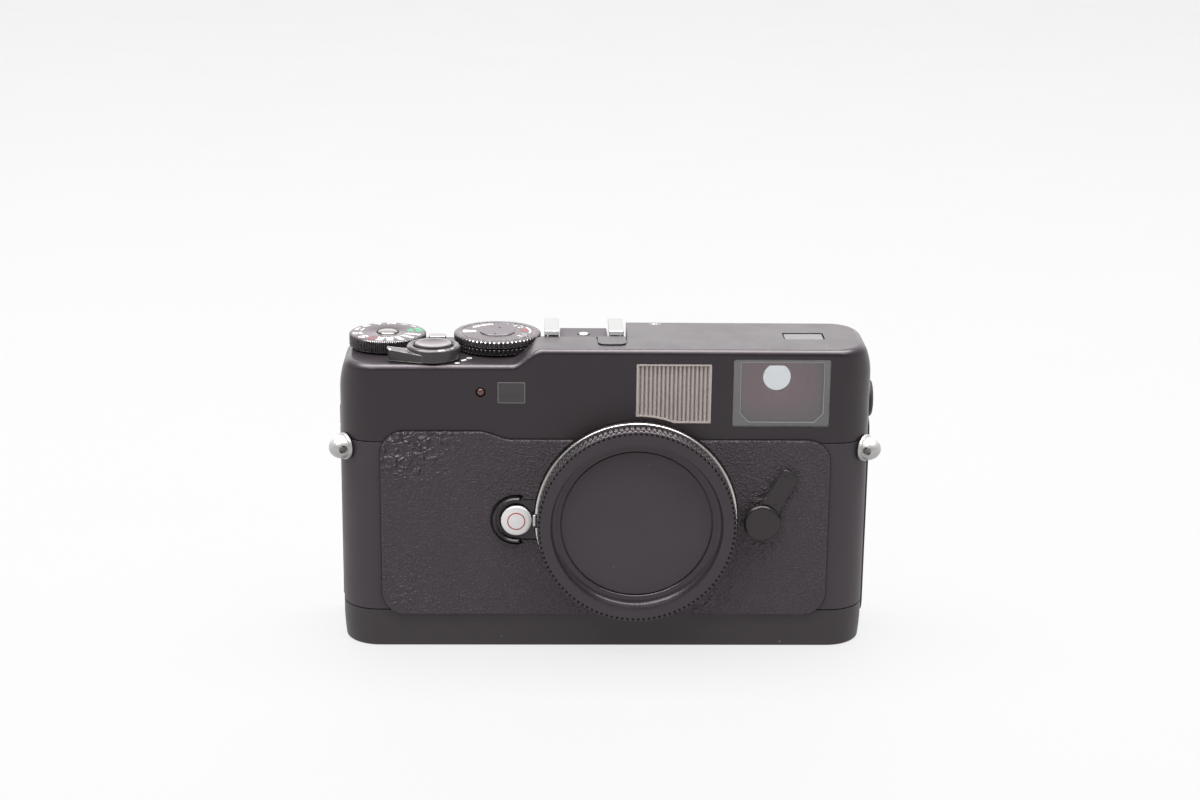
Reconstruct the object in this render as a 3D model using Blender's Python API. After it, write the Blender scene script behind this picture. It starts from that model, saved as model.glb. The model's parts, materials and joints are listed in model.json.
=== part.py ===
"""Rangefinder film camera with a body cap, as an assembly of separate pieces.

Sizes are in millimetres and are scaled to metres when a piece is made.
X runs to the right seen from the front, Y to the back and Z up; the origin is under the base.
"""
import math

import bmesh
import bpy
from mathutils import Matrix, Vector

MM = 0.001
SMOOTH_ANGLE = math.radians(35.0)

# Fits, small edges and how far joined shapes and cutters run on
FIT = 0.3
EDGE = 0.3
BITE = 0.4
PAST = 2.0

# Covers and casing
BODY_WIDTH = 133.7
BOTTOM_HEIGHT = 9.7
SEAM_RISE = 19.7
COVER_HEIGHT = 19.7
STEP_HEIGHT = 4.1
FRONT_CORNER = 9.5
BACK_CORNER = 8.0
WALL = 1.2
FLOOR = 1.5
COVER_FILLET = 0.9
BASE_FILLET = 0.5
END_ROUND_HEIGHT = 8.0
END_ROUND_DECK = 1.6
END_ROUND_PLATEAU = 1.9
END_ROUND_BASE = 0.5
RAMP_OFFSET = 3.65
RAMP_LENGTH = 7.8

# Depths from the lens flange to the back
FLANGE_PROUD = 2.95
FLANGE_TO_FILM = 27.8
PRESSURE_THICKNESS = 0.9
SPRING_ROOM = 0.65
DOOR_THICKNESS = 1.4

# Lens mount and body cap
LENS_X = 7.75
MOUNT_STRIP = 0.5
MOUNT_RADIUS = 25.48
MOUNT_NECK = 1.28
MOUNT_FLANGE = 1.7
NECK_WALL = 2.2
CLAW_REACH = 1.6
CLAW_THICKNESS = 1.2
CLAW_HALF_ANGLE = 32.0
CLAW_COUNT = 3
CLAW_PLAY = 4.0
CAP_INSET = 0.51
CAP_DEPTH = 5.3
CAP_TEETH = 45
CAP_TOOTH = 0.35
CAP_RIM = 3.47
CAP_COVE = 2.45
CAP_RECESS_DEPTH = 2.6
CAP_DISC_SINK = 0.45
CAP_WALL = 2.2
CAP_TUBE_LENGTH = 3.0

# Lens release and frame lever
RELEASE_GAP = 0.82
RELEASE_DROP = 0.55
RELEASE_RADIUS = 3.85
RELEASE_HEIGHT = 1.3
RELEASE_TRAVEL = 1.2
LOCK_TAB_WIDTH = 3.1
LOCK_TAB_RISE = 0.3
GUARD_RADIUS = 6.3
GUARD_WALL = 1.2
GUARD_HEIGHT = 1.2
GUARD_ANGLE = 75.0
PAD_THICKNESS = 0.45
LEVER_GAP = 1.57
LEVER_DROP = 0.6
LEVER_LENGTH = 15.0
LEVER_WIDTH = 4.5
LEVER_ROOT_RADIUS = 4.3
LEVER_THICKNESS = 1.0
LEVER_LEAN = 60.7
LEVER_CAP_RADIUS = 4.6
LEVER_CAP_HEIGHT = 1.1
STEM_RADIUS = 1.5

# Leather
LEATHER = 0.6
PANEL_MARGIN = 10.35
PANEL_LAP = 1.0
PANEL_STEP = 2.1
PANEL_STEP_INSET = 34.85
PANEL_WAVE = 8.7
PANEL_CORNER = 6.0
BACK_MARGIN = 5.5
BACK_LAP = 1.5
BACK_PANEL_CORNER = 4.0

# Windows of the top cover
GLASS = 0.8
GLASS_SINK = 0.15
FINDER_INSET = 11.1
FINDER_WIDTH = 24.25
FINDER_SILL = 4.05
FINDER_BROW = 2.3
ILLUMINATOR_SHIFT = 0.4
WINDOW_GAP = 5.35
ILLUMINATOR_SILL = 4.93
ILLUMINATOR_BROW = 3.48
ILLUMINATOR_MARGIN = 0.82
ILLUMINATOR_RIBS = 18
RIB_DEPTH = 0.25
RANGE_INSET = 39.65
RANGE_WIDTH = 7.1
RANGE_SILL = 9.9
RANGE_HEIGHT = 5.7
LAMP_SHIFT = 4.1
LAMP_RISE = 12.85
LAMP_RADIUS = 0.95
COUNTER_INSET = 11.45
COUNTER_WIDTH = 10.4
COUNTER_DEPTH = 6.2
COUNTER_Y = 0.2
EYEPIECE_SHIFT = 13.8
EYEPIECE_RISE = 9.1
EYEPIECE_HOLE = 3.7
EYEPIECE_FLAT = 3.1
EYEPIECE_NECK = 1.3
EYEPIECE_RADIUS = 7.0
EYEPIECE_DEPTH = 2.2

# Controls on the low deck
SHAFT_RADIUS = 1.9
SHAFT_LENGTH = 3.2
DIAL_INSET = 11.5
DIAL_RADIUS = 9.75
DIAL_OVERHANG = 0.1
DIAL_HEIGHT = 3.3
DIAL_TEETH = 36
DIAL_TOOTH = 0.3
LOCK_RADIUS = 2.5
LOCK_PROUD = 0.5
LOCK_DEPTH = 1.3
LOCK_TRAVEL = 0.8
COMPENSATION_GAP = 2.02
COMPENSATION_RADIUS = 11.03
COMPENSATION_OVERHANG = 0.78
COMPENSATION_HEIGHT = 1.7
COMPENSATION_TEETH = 32
SPEED_RING_HEIGHT = 1.65
HUB_RADIUS = 4.55
HUB_RAISE = 0.25
COLLAR_GAP = 0.33
BUTTON_FROM_FRONT = 7.35
BUTTON_RADIUS = 4.62
BUTTON_STEM = 2.3
BUTTON_PROUD = 0.4
BUTTON_TRAVEL = 1.0
COLLAR_WALL = 1.83
COLLAR_HEIGHT = 3.25
TAB_REACH = 11.2
INDEX_GAP = 0.7
INDEX_WIDTH = 4.4
INDEX_DEPTH = 3.4
INDEX_HEIGHT = 2.5

# Accessory shoe and the plate in front of it
SHOE_GAP = 0.92
SHOE_SLOT_WIDTH = 18.7
SHOE_OPENING = 12.6
SHOE_SLOT_HEIGHT = 2.2
SHOE_SHEET = 0.7
SHOE_BASE = 1.6
SHOE_LIP = 1.1
SHOE_LENGTH = 13.1
SHOE_BACK_INSET = 1.0
RECESS_MARGIN = 0.9
RECESS_FRONT_MARGIN = 1.65
RECESS_TURN = 1.8
CONTACT_RADIUS = 1.3
CONTACT_PLATE = 0.4
ACCESS_SHIFT = 6.9
ACCESS_WIDTH = 7.1
ACCESS_DEPTH = 7.6
ACCESS_MARGIN = 0.5
ACCESS_RAISE = 0.35
ACCESS_CORNER = 1.8

# Ends of the body
LUG_ANGLE = 55.0
LUG_DROP = 2.4
LUG_RADIUS = 3.4
LUG_FLANGE = 0.8
LUG_HEIGHT = 4.5
LUG_SHOULDER = 0.35
LUG_HOLE = 1.1
SYNC_Y = 2.0
SYNC_RISE = 7.1
SYNC_RADIUS = 4.9
SYNC_HEIGHT = 1.25
SYNC_BORE = 2.5

# Back door
LIP_THICKNESS = 1.25
LIP_REACH = 12.35
LIP_ABOVE = 2.0
LIP_BELOW = 7.3
LIP_CORNER = 4.0
HINGE_ANGLE = 143.5
HINGE_RADIUS = 1.7
HINGE_PIN_RADIUS = 0.8
HINGE_EAR = 5.2
LATCH_FROM_LIP = 3.6
LATCH_WIDTH = 3.5
LATCH_LENGTH = 10.0
LATCH_RISE = 1.0
LATCH_TRAVEL = 5.0
FILM_WINDOW_WIDTH = 8.4
FILM_WINDOW_HEIGHT = 27.4

# Main frame, shutter and film path
GATE_WIDTH = 36.0
GATE_HEIGHT = 24.0
GATE_WALL = 1.5
RAIL_LENGTH = 56.0
RAIL_WIDTH = 1.6
RAIL_RAISE = 0.3
CHAMBER_SPACING = 37.25
CHAMBER_WALL = 0.5
CHAMBER_FLOOR = 1.0
CHAMBER_ROOF = 2.3
CARTRIDGE_RADIUS = 12.7
TAKEUP_RADIUS = 11.8
SPOOL_RADIUS = 7.5
SPOOL_LIP = 3.0
SPOOL_FLANGE = 1.2
AXLE_LENGTH = 2.1
FORK_RADIUS = 3.2
FORK_HEIGHT = 3.0
FORK_SLOT = 2.6
FORK_SHAFT = 4.4
BLOCK_HALF_WIDTH = 22.0
BLOCK_DROP = 21.0
THROAT_RADIUS = 18.2
SHUTTER_PLATE = 1.0
SHUTTER_SILL = 0.6
BLADE_COUNT = 4
BLADE_HEIGHT = 7.4
BLADE_PITCH = 6.0
BLADE_LAP = 1.2
BLADE_THICKNESS = 0.25
APERTURE_MARGIN = 0.5
PRESSURE_WIDTH = 54.0
PRESSURE_HEIGHT = 37.0
SPRING_THICKNESS = 0.35
SPRING_LENGTH = 30.0
SPRING_WIDTH = 8.0

# Rangefinder bridge
BRIDGE_THICKNESS = 1.5
BRIDGE_MARGIN = 3.8
HOUSE_MARGIN = 2.6
TUNNEL_INSET = 2.2
TUNNEL_BACK = 3.5
ARM_WIDTH = 2.0
ARM_PIVOT_RISE = 3.6
ARM_PIVOT_INSET = 2.35
ARM_PIN_RADIUS = 0.9
EAR_WIDTH = 2.0
ROLLER_RADIUS = 1.3
ROLLER_DROP = 2.9
MIRROR_WIDTH = 6.5
MIRROR_HEIGHT = 6.0
MIRROR_THICKNESS = 3.0
PEDESTAL_DEPTH = 8.0

# Power and base
BATTERY_INSET = 11.85
BATTERY_Y = -2.0
CELL_RADIUS = 7.75
CELL_LENGTH = 27.0
CELL_COUNT = 2
CELL_TIP_RADIUS = 3.0
CELL_TIP = 0.8
BATTERY_CAP = 2.1
BASE_SINK = 0.2
COIN_SLOT_LENGTH = 9.2
COIN_SLOT_WIDTH = 1.3
BOARD_THICKNESS = 1.2
BOARD_MARGIN = 2.5
TRIPOD_RADIUS = 4.7
TRIPOD_BORE = 3.1
TRIPOD_HEIGHT = 8.2
TRIPOD_FLOOR = 1.2
REWIND_SHIFT = 27.75
REWIND_Y = 3.0
REWIND_RADIUS = 1.9
REWIND_LENGTH = 3.4
REWIND_TRAVEL = 1.0

# Planes and places that follow from the sizes above
BODY_DEPTH = FLANGE_TO_FILM - FLANGE_PROUD + 3 * FIT + PRESSURE_THICKNESS + SPRING_ROOM + DOOR_THICKNESS
HALF = BODY_WIDTH / 2
FRONT = -BODY_DEPTH / 2
BACK = BODY_DEPTH / 2
CASING_LOW = BOTTOM_HEIGHT + FIT
NECK_RADIUS = MOUNT_RADIUS - MOUNT_NECK
BAYONET_RADIUS = NECK_RADIUS - NECK_WALL
CAP_RADIUS = MOUNT_RADIUS - CAP_INSET
LENS_Z = CASING_LOW + MOUNT_STRIP + NECK_RADIUS + FIT
TOP_SEAM = LENS_Z + SEAM_RISE
DECK = TOP_SEAM + COVER_HEIGHT
PLATEAU = DECK + STEP_HEIGHT
DECK_SEAT = DECK + FIT
CASING_HIGH = TOP_SEAM - FIT
FLANGE_FACE = FRONT - FLANGE_PROUD
FILM_PLANE = FLANGE_FACE + FLANGE_TO_FILM
DOOR_INNER = BACK - DOOR_THICKNESS
CLAW_RADIUS = BAYONET_RADIUS - CLAW_REACH
CLAW_GAPS = [30.0 + i * 360.0 / CLAW_COUNT for i in range(CLAW_COUNT)]
CLAW_GAP_HALF = 180.0 / CLAW_COUNT - CLAW_HALF_ANGLE
SKIN_BACK = FRONT - FIT
SKIN_FRONT = SKIN_BACK - LEATHER
RELEASE_X = LENS_X - MOUNT_RADIUS - RELEASE_GAP - RELEASE_RADIUS
RELEASE_Z = LENS_Z - RELEASE_DROP
LEVER_X = LENS_X + MOUNT_RADIUS + LEVER_GAP + LEVER_CAP_RADIUS
LEVER_Z = LENS_Z - LEVER_DROP
FRAME_FRONT = FRONT + WALL + FIT
FRAME_BACK = FILM_PLANE - RAIL_RAISE
FRAME_LOW = FLOOR + FIT
FRAME_HIGH = CASING_HIGH - FIT
GATE_FRONT = FRAME_BACK - GATE_WALL
SHUTTER_BACK = GATE_FRONT - FIT
SHUTTER_FRONT = SHUTTER_BACK - SHUTTER_PLATE - BLADE_COUNT * (BLADE_THICKNESS + FIT) - 2 * FIT
BLOCK_BACK = SHUTTER_FRONT - FIT
BLOCK_LOW = LENS_Z - BLOCK_DROP
BLADE_WIDTH = GATE_WIDTH + 2 * BLADE_LAP
FLOOR_LEVEL = CASING_LOW + CHAMBER_FLOOR
ROOF_LEVEL = FRAME_HIGH - CHAMBER_ROOF
CARTRIDGE_X = LENS_X + CHAMBER_SPACING
CARTRIDGE_Y = FRAME_FRONT + CHAMBER_WALL + CARTRIDGE_RADIUS
TAKEUP_X = LENS_X - CHAMBER_SPACING
TAKEUP_Y = FRAME_FRONT + CHAMBER_WALL + TAKEUP_RADIUS
DIAL_X = -HALF + DIAL_INSET
DIAL_Y = BACK + DIAL_OVERHANG - DIAL_RADIUS
INDEX_X = DIAL_X + DIAL_RADIUS + INDEX_GAP + INDEX_WIDTH / 2
COMPENSATION_X = INDEX_X + INDEX_WIDTH / 2 + COMPENSATION_GAP + COMPENSATION_RADIUS
COMPENSATION_Y = BACK + COMPENSATION_OVERHANG - COMPENSATION_RADIUS
BUTTON_Y = FRONT + BUTTON_FROM_FRONT
COLLAR_RADIUS = BUTTON_RADIUS + FIT + COLLAR_WALL
BUTTON_REACH = DIAL_RADIUS + COLLAR_GAP + COLLAR_RADIUS
BUTTON_X = DIAL_X + math.sqrt(BUTTON_REACH ** 2 - (DIAL_Y - BUTTON_Y) ** 2)
RAMP_FOOT = COMPENSATION_X + RAMP_OFFSET
SHOE_HALF = SHOE_SLOT_WIDTH / 2 + SHOE_SHEET
SHOE_X = COMPENSATION_X + COMPENSATION_RADIUS + SHOE_GAP + SHOE_HALF
SHOE_BACK = BACK - SHOE_BACK_INSET
SHOE_FRONT = SHOE_BACK - SHOE_LENGTH
RECESS_RIGHT = SHOE_X + SHOE_HALF + RECESS_MARGIN
RECESS_FRONT = SHOE_FRONT - RECESS_FRONT_MARGIN
ACCESS_RIGHT = SHOE_X + ACCESS_SHIFT + ACCESS_WIDTH / 2
ACCESS_BACK = RECESS_FRONT - ACCESS_MARGIN
FINDER_RIGHT = HALF - FINDER_INSET
FINDER_LEFT = FINDER_RIGHT - FINDER_WIDTH
FINDER_LOW = TOP_SEAM + FINDER_SILL
FINDER_HIGH = PLATEAU - FINDER_BROW
ILLUMINATOR_LEFT = LENS_X - ILLUMINATOR_SHIFT
ILLUMINATOR_RIGHT = FINDER_LEFT - WINDOW_GAP
EYEPIECE_X = FINDER_LEFT + EYEPIECE_SHIFT
EYEPIECE_Z = TOP_SEAM + EYEPIECE_RISE
RANGE_LEFT = -HALF + RANGE_INSET
RANGE_LOW = TOP_SEAM + RANGE_SILL
RANGE_MIDDLE = RANGE_LEFT + RANGE_WIDTH / 2
LAMP_X = RANGE_LEFT - LAMP_SHIFT
LAMP_Z = TOP_SEAM + LAMP_RISE
COUNTER_RIGHT = HALF - COUNTER_INSET
BRIDGE_LOW = FRAME_HIGH + FIT
BRIDGE_HIGH = BRIDGE_LOW + BRIDGE_THICKNESS
BRIDGE_LEFT = RANGE_LEFT - BRIDGE_MARGIN
BRIDGE_FRONT = FRAME_FRONT + FIT / 2
BRIDGE_BACK = BACK - WALL - FIT
ARM_PIVOT_Y = FRAME_FRONT + ARM_PIVOT_INSET
ARM_PIVOT_Z = BRIDGE_LOW + ARM_PIVOT_RISE
ROLLER_Z = FRAME_HIGH - ROLLER_DROP
HINGE_REACH = BACK_CORNER + FIT + HINGE_RADIUS
HINGE_X = -HALF + BACK_CORNER + HINGE_REACH * math.cos(math.radians(HINGE_ANGLE))
HINGE_Y = BACK - BACK_CORNER + HINGE_REACH * math.sin(math.radians(HINGE_ANGLE))
DOOR_ORIGIN = (HINGE_X, HINGE_Y, CASING_LOW)
BATTERY_X = -HALF + BATTERY_INSET
CELL_LOW = BASE_SINK + BATTERY_CAP + FIT
REWIND_X = LENS_X - REWIND_SHIFT

BLACK_PAINT = ((0.030, 0.029, 0.031), 0.42, 0.2)
BLACK_METAL = ((0.020, 0.020, 0.021), 0.50, 0.5)
BLACK_PLASTIC = ((0.018, 0.018, 0.019), 0.55, 0.0)
LEATHERETTE = ((0.024, 0.023, 0.024), 0.62, 0.0)
NICKEL = ((0.78, 0.77, 0.75), 0.22, 1.0)
CAST_ALLOY = ((0.26, 0.26, 0.27), 0.55, 0.9)
CLEAR_GLASS = ((0.05, 0.05, 0.06), 0.05, 0.0)
FROSTED = ((0.42, 0.39, 0.36), 0.45, 0.0)
LAMP_RED = ((0.16, 0.03, 0.025), 0.25, 0.0)
BOARD_GREEN = ((0.02, 0.14, 0.06), 0.45, 0.0)
CELL_GREY = ((0.30, 0.31, 0.33), 0.35, 0.6)


def clear_scene():
    for old in list(bpy.data.objects):
        bpy.data.objects.remove(old, do_unlink=True)


def make_material(name, finish):
    colour, roughness, metallic = finish
    material = bpy.data.materials.new(name)
    material.use_nodes = True
    shader = material.node_tree.nodes["Principled BSDF"]
    shader.inputs["Base Color"].default_value = (*colour, 1.0)
    shader.inputs["Roughness"].default_value = roughness
    shader.inputs["Metallic"].default_value = metallic
    return material


def make_piece(name, bm, finish, origin=(0.0, 0.0, 0.0)):
    """Turn a mesh in millimetres into a named object with its origin at the given point."""
    centre = Vector(origin)
    bmesh.ops.recalc_face_normals(bm, faces=bm.faces)
    for vert in bm.verts:
        vert.co = (vert.co - centre) * MM
    mesh = bpy.data.meshes.new(name)
    bm.to_mesh(mesh)
    bm.free()
    mesh.shade_smooth()
    mesh.set_sharp_from_angle(angle=SMOOTH_ANGLE)
    mesh.materials.append(make_material(name, finish))
    piece = bpy.data.objects.new(name, mesh)
    piece.location = centre * MM
    bpy.context.scene.collection.objects.link(piece)


def scratch(bm):
    mesh = bpy.data.meshes.new("scratch")
    bmesh.ops.recalc_face_normals(bm, faces=bm.faces)
    bm.to_mesh(mesh)
    bm.free()
    helper = bpy.data.objects.new("scratch", mesh)
    bpy.context.scene.collection.objects.link(helper)
    return helper


def combine(base, operation, tools):
    """Boolean the tools into the base, one after the other, and give the mesh back."""
    body = scratch(base)
    helpers = [scratch(tool) for tool in tools]
    for helper in helpers:
        step = body.modifiers.new("step", "BOOLEAN")
        step.operation = operation
        step.solver = "EXACT"
        step.object = helper
    result = bmesh.new()
    result.from_object(body, bpy.context.evaluated_depsgraph_get())
    for helper in [body, *helpers]:
        bpy.data.objects.remove(helper, do_unlink=True)
    return result


def cut(base, *tools):
    return combine(base, "DIFFERENCE", tools)


def join(base, *tools):
    return combine(base, "UNION", tools)


def common(base, *tools):
    return combine(base, "INTERSECT", tools)


def placed(axis, u, v, w):
    """A point from outline coordinates u and v and a distance w along the axis."""
    return {"X": (w, u, v), "Y": (u, w, v), "Z": (u, v, w)}[axis]


def loft(rings):
    """Skin a stack of closed rings that have equal counts of points, and cap both ends."""
    bm = bmesh.new()
    rows = [[bm.verts.new(point) for point in ring] for ring in rings]
    count = len(rows[0])
    for low, high in zip(rows, rows[1:]):
        for i in range(count):
            j = (i + 1) % count
            bm.faces.new((low[i], low[j], high[j], high[i]))
    bm.faces.new(rows[0])
    bm.faces.new(rows[-1])
    bmesh.ops.recalc_face_normals(bm, faces=bm.faces)
    return bm


def stack(outline, levels, axis="Z"):
    return loft([[placed(axis, u, v, w) for u, v in outline] for w in levels])


def prism(outline, low, high, axis="Z"):
    return stack(outline, (low, high), axis)


def box(x, y, z):
    return prism([(x[0], y[0]), (x[1], y[0]), (x[1], y[1]), (x[0], y[1])], z[0], z[1])


def around(middle, width):
    return (middle - width / 2, middle + width / 2)


def arc(u, v, radius, start, end, steps):
    angles = [math.radians(start + (end - start) * i / steps) for i in range(steps + 1)]
    return [(u + radius * math.cos(a), v + radius * math.sin(a)) for a in angles]


def circle(u, v, radius, steps=20):
    return arc(u, v, radius, 0.0, 360.0, steps)[:-1]


def smooth(share):
    """S-shaped rise from 0 to 1."""
    return share * share * (3 - 2 * share)


def rounded(low_u, high_u, low_v, high_v, low_radius, high_radius=None, steps=4):
    """A rectangle whose two lower and two upper corners have their own radii."""
    top = low_radius if high_radius is None else high_radius
    return (arc(low_u + low_radius, low_v + low_radius, low_radius, 180, 270, steps)
            + arc(high_u - low_radius, low_v + low_radius, low_radius, 270, 360, steps)
            + arc(high_u - top, high_v - top, top, 0, 90, steps)
            + arc(low_u + top, high_v - top, top, 90, 180, steps))


def rod(u, v, radius, low, high, axis="Z", steps=16):
    return prism(circle(u, v, radius, steps), low, high, axis)


def turned(profile, centre, axis="Z", steps=22):
    """Spin a closed profile of (radius, height) points round an axis through the centre."""
    bm = bmesh.new()
    points = [bm.verts.new((radius, 0.0, height)) for radius, height in profile]
    for start, end in zip(points, points[1:] + points[:1]):
        if start.co.x > 0.0 or end.co.x > 0.0:
            bm.edges.new((start, end))
    bmesh.ops.spin(bm, geom=bm.verts[:] + bm.edges[:], cent=(0, 0, 0), axis=(0, 0, 1),
                   angle=math.tau, steps=steps, use_merge=True)
    bmesh.ops.remove_doubles(bm, verts=bm.verts, dist=0.0005)
    turn = {"X": Matrix.Rotation(math.radians(90), 4, "Y"),
            "Y": Matrix.Rotation(math.radians(-90), 4, "X"),
            "Z": Matrix.Identity(4)}[axis]
    bmesh.ops.transform(bm, matrix=Matrix.Translation(centre) @ turn, verts=bm.verts)
    bmesh.ops.recalc_face_normals(bm, faces=bm.faces)
    return bm


def knurled(u, v, levels, teeth, axis="Z"):
    """A knurled disc from levels of (height, radius, tooth depth)."""
    rings = []
    for height, radius, depth in levels:
        ring = []
        for i in range(2 * teeth):
            reach = radius - depth * (i % 2)
            angle = math.pi * i / teeth
            ring.append(placed(axis, u + reach * math.cos(angle), v + reach * math.sin(angle), height))
        rings.append(ring)
    return loft(rings)


def body_outline(inset):
    return rounded(-HALF + inset, HALF - inset, FRONT + inset, BACK - inset,
                   FRONT_CORNER - inset, BACK_CORNER - inset, steps=5)


def behind(y):
    """Everything behind a plane across the body."""
    return box((-BODY_WIDTH, BODY_WIDTH), (y, y + BODY_WIDTH), (-BODY_WIDTH, BODY_WIDTH))


def ahead(y):
    """Everything in front of a plane across the body."""
    return box((-BODY_WIDTH, BODY_WIDTH), (y - BODY_WIDTH, y), (-BODY_WIDTH, BODY_WIDTH))


def lens_hole(radius, low, high):
    return prism(circle(LENS_X, LENS_Z, radius, 44), low, high, "Y")


def round_ends(bm, left_rim, right_rim, left, right):
    """Draw the ends of a cover in towards its rim, like the crown of a pressed shell."""
    start = HALF - 1.5 * FRONT_CORNER
    for vert in bm.verts:
        rim, amount = (left_rim, left) if vert.co.x < 0 else (right_rim, right)
        near = max(0.0, 1 - abs(rim - vert.co.z) / END_ROUND_HEIGHT)
        share = max(0.0, (abs(vert.co.x) - start) / (HALF - start))
        vert.co.x -= math.copysign(amount * near * near * share, vert.co.x)
    return bm


def end_levels(rim, sign):
    """Heights of the rings that the rounding of the ends needs, from the rim inwards."""
    return [rim + sign * END_ROUND_HEIGHT * share for share in (1.0, 0.6, 0.27)]


def fillet_rim(bm, sign, radius):
    """Round the edges between the faces that look up (or down) and the side walls."""
    bm.normal_update()
    rim = []
    for edge in bm.edges:
        lifts = sorted(face.normal.z * sign for face in edge.link_faces)
        if len(lifts) == 2 and -0.5 < lifts[0] < 0.2 and lifts[1] > 0.3:
            rim.append(edge)
    bmesh.ops.bevel(bm, geom=rim, offset=radius, segments=3, profile=0.5, affect="EDGES",
                    clamp_overlap=True)
    return bm


def top_profile():
    """Front view of the top cover: low deck, S-shaped ramp, plateau."""
    steps = 8
    side = HALF + PAST
    ramp = [(RAMP_FOOT + RAMP_LENGTH * i / steps, DECK + STEP_HEIGHT * smooth(i / steps))
            for i in range(steps + 1)]
    return [(-side, TOP_SEAM), (side, TOP_SEAM), (side, PLATEAU), *reversed(ramp), (-side, DECK)]


def shoe_recess():
    """Space behind the front strip of the plateau, with a rounded right end at the back."""
    left = RAMP_FOOT - FIT
    outline = [(left, RECESS_FRONT), (RECESS_RIGHT, RECESS_FRONT)]
    outline += arc(RECESS_RIGHT + RECESS_TURN, BACK - RECESS_TURN, RECESS_TURN, 180, 90, 4)
    outline += [(RECESS_RIGHT + RECESS_TURN, BACK + PAST), (left, BACK + PAST)]
    return prism(outline, DECK, PLATEAU + PAST)


def window_outline(left, right, low, high, grow, corner):
    return rounded(left - grow, right + grow, low - grow, high + grow, corner, steps=2)


def finder_outline(grow):
    return window_outline(FINDER_LEFT, FINDER_RIGHT, FINDER_LOW, FINDER_HIGH, grow, 2 * EDGE)


def range_outline(grow):
    right = RANGE_LEFT + RANGE_WIDTH
    high = RANGE_LOW + RANGE_HEIGHT
    return window_outline(RANGE_LEFT, right, RANGE_LOW, high, grow, EDGE)


def counter_outline(grow):
    low, high = around(COUNTER_Y, COUNTER_DEPTH)
    return window_outline(COUNTER_RIGHT - COUNTER_WIDTH, COUNTER_RIGHT, low, high, grow, 2 * EDGE)


def access_outline(grow):
    left = ACCESS_RIGHT - ACCESS_WIDTH - grow
    low = ACCESS_BACK - ACCESS_DEPTH - grow
    return rounded(left, ACCESS_RIGHT + grow, low, ACCESS_BACK + grow, ACCESS_CORNER + grow, EDGE + grow)


def illuminator_outline(grow):
    """The illuminator window, whose lower left edge follows the lens mount."""
    left = ILLUMINATOR_LEFT - grow
    right = ILLUMINATOR_RIGHT + grow
    low = TOP_SEAM + ILLUMINATOR_SILL - grow
    high = PLATEAU - ILLUMINATOR_BROW + grow
    radius = MOUNT_RADIUS + ILLUMINATOR_MARGIN - grow
    start = math.degrees(math.acos((left - LENS_X) / radius))
    at_sill = math.degrees(math.asin(min(1.0, (low - LENS_Z) / radius)))
    at_side = math.degrees(math.acos(min(1.0, (right - LENS_X) / radius)))
    sill = [(right, low)] if at_sill > at_side else []
    curve = arc(LENS_X, LENS_Z, radius, start, max(at_sill, at_side), 5)
    return curve + sill + [(right, high), (left, high)]


def top_cover():
    plan = stack(body_outline(0.0), (TOP_SEAM - PAST, *end_levels(DECK, -1), *end_levels(PLATEAU, -1)[1:],
                                     PLATEAU + PAST))
    shell = common(plan, prism(top_profile(), FRONT - PAST, BACK + PAST, "Y"))
    shell = fillet_rim(cut(shell, shoe_recess()), 1, COVER_FILLET)
    shell = round_ends(shell, DECK, PLATEAU, END_ROUND_DECK, END_ROUND_PLATEAU)
    inside = body_outline(WALL)
    left, right = -HALF + WALL + END_ROUND_DECK, HALF - WALL - END_ROUND_PLATEAU
    low_room = common(prism(inside, TOP_SEAM - PAST, DECK - WALL),
                      box((left, RECESS_RIGHT + 2 * WALL), (FRONT, BACK), (TOP_SEAM - 2 * PAST, DECK)))
    high_room = common(prism(inside, TOP_SEAM - PAST, PLATEAU - WALL),
                       box((RECESS_RIGHT + WALL, right), (FRONT, BACK), (TOP_SEAM - 2 * PAST, PLATEAU)))
    front_wall = (FRONT - PAST, FRONT + WALL + PAST)
    back_wall = (BACK - WALL - PAST, BACK + PAST)
    neck = EYEPIECE_HOLE + EYEPIECE_NECK + FIT
    deck_wall = (DECK - WALL - PAST, DECK + PAST)
    shell = cut(
        shell, low_room, high_room,
        rod(COMPENSATION_X, COMPENSATION_Y, COMPENSATION_RADIUS + FIT, DECK, PLATEAU + PAST, steps=40),
        lens_hole(NECK_RADIUS + FIT, *front_wall),
        prism(finder_outline(0.0), *front_wall, "Y"),
        prism(illuminator_outline(0.0), *front_wall, "Y"),
        prism(range_outline(0.0), *front_wall, "Y"),
        rod(LAMP_X, LAMP_Z, LAMP_RADIUS + FIT, *front_wall, "Y"),
        rod(EYEPIECE_X, EYEPIECE_Z, neck, *back_wall, "Y", steps=24),
        rod(DIAL_X, DIAL_Y, SHAFT_RADIUS + FIT, *deck_wall),
        rod(COMPENSATION_X, COMPENSATION_Y, SHAFT_RADIUS + FIT, *deck_wall),
        rod(BUTTON_X, BUTTON_Y, BUTTON_STEM + FIT, *deck_wall),
        prism(access_outline(FIT), PLATEAU - FIT, PLATEAU + PAST),
        prism(counter_outline(0.0), PLATEAU - WALL - PAST, PLATEAU + PAST))
    make_piece("top_cover", shell, BLACK_PAINT)


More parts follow.
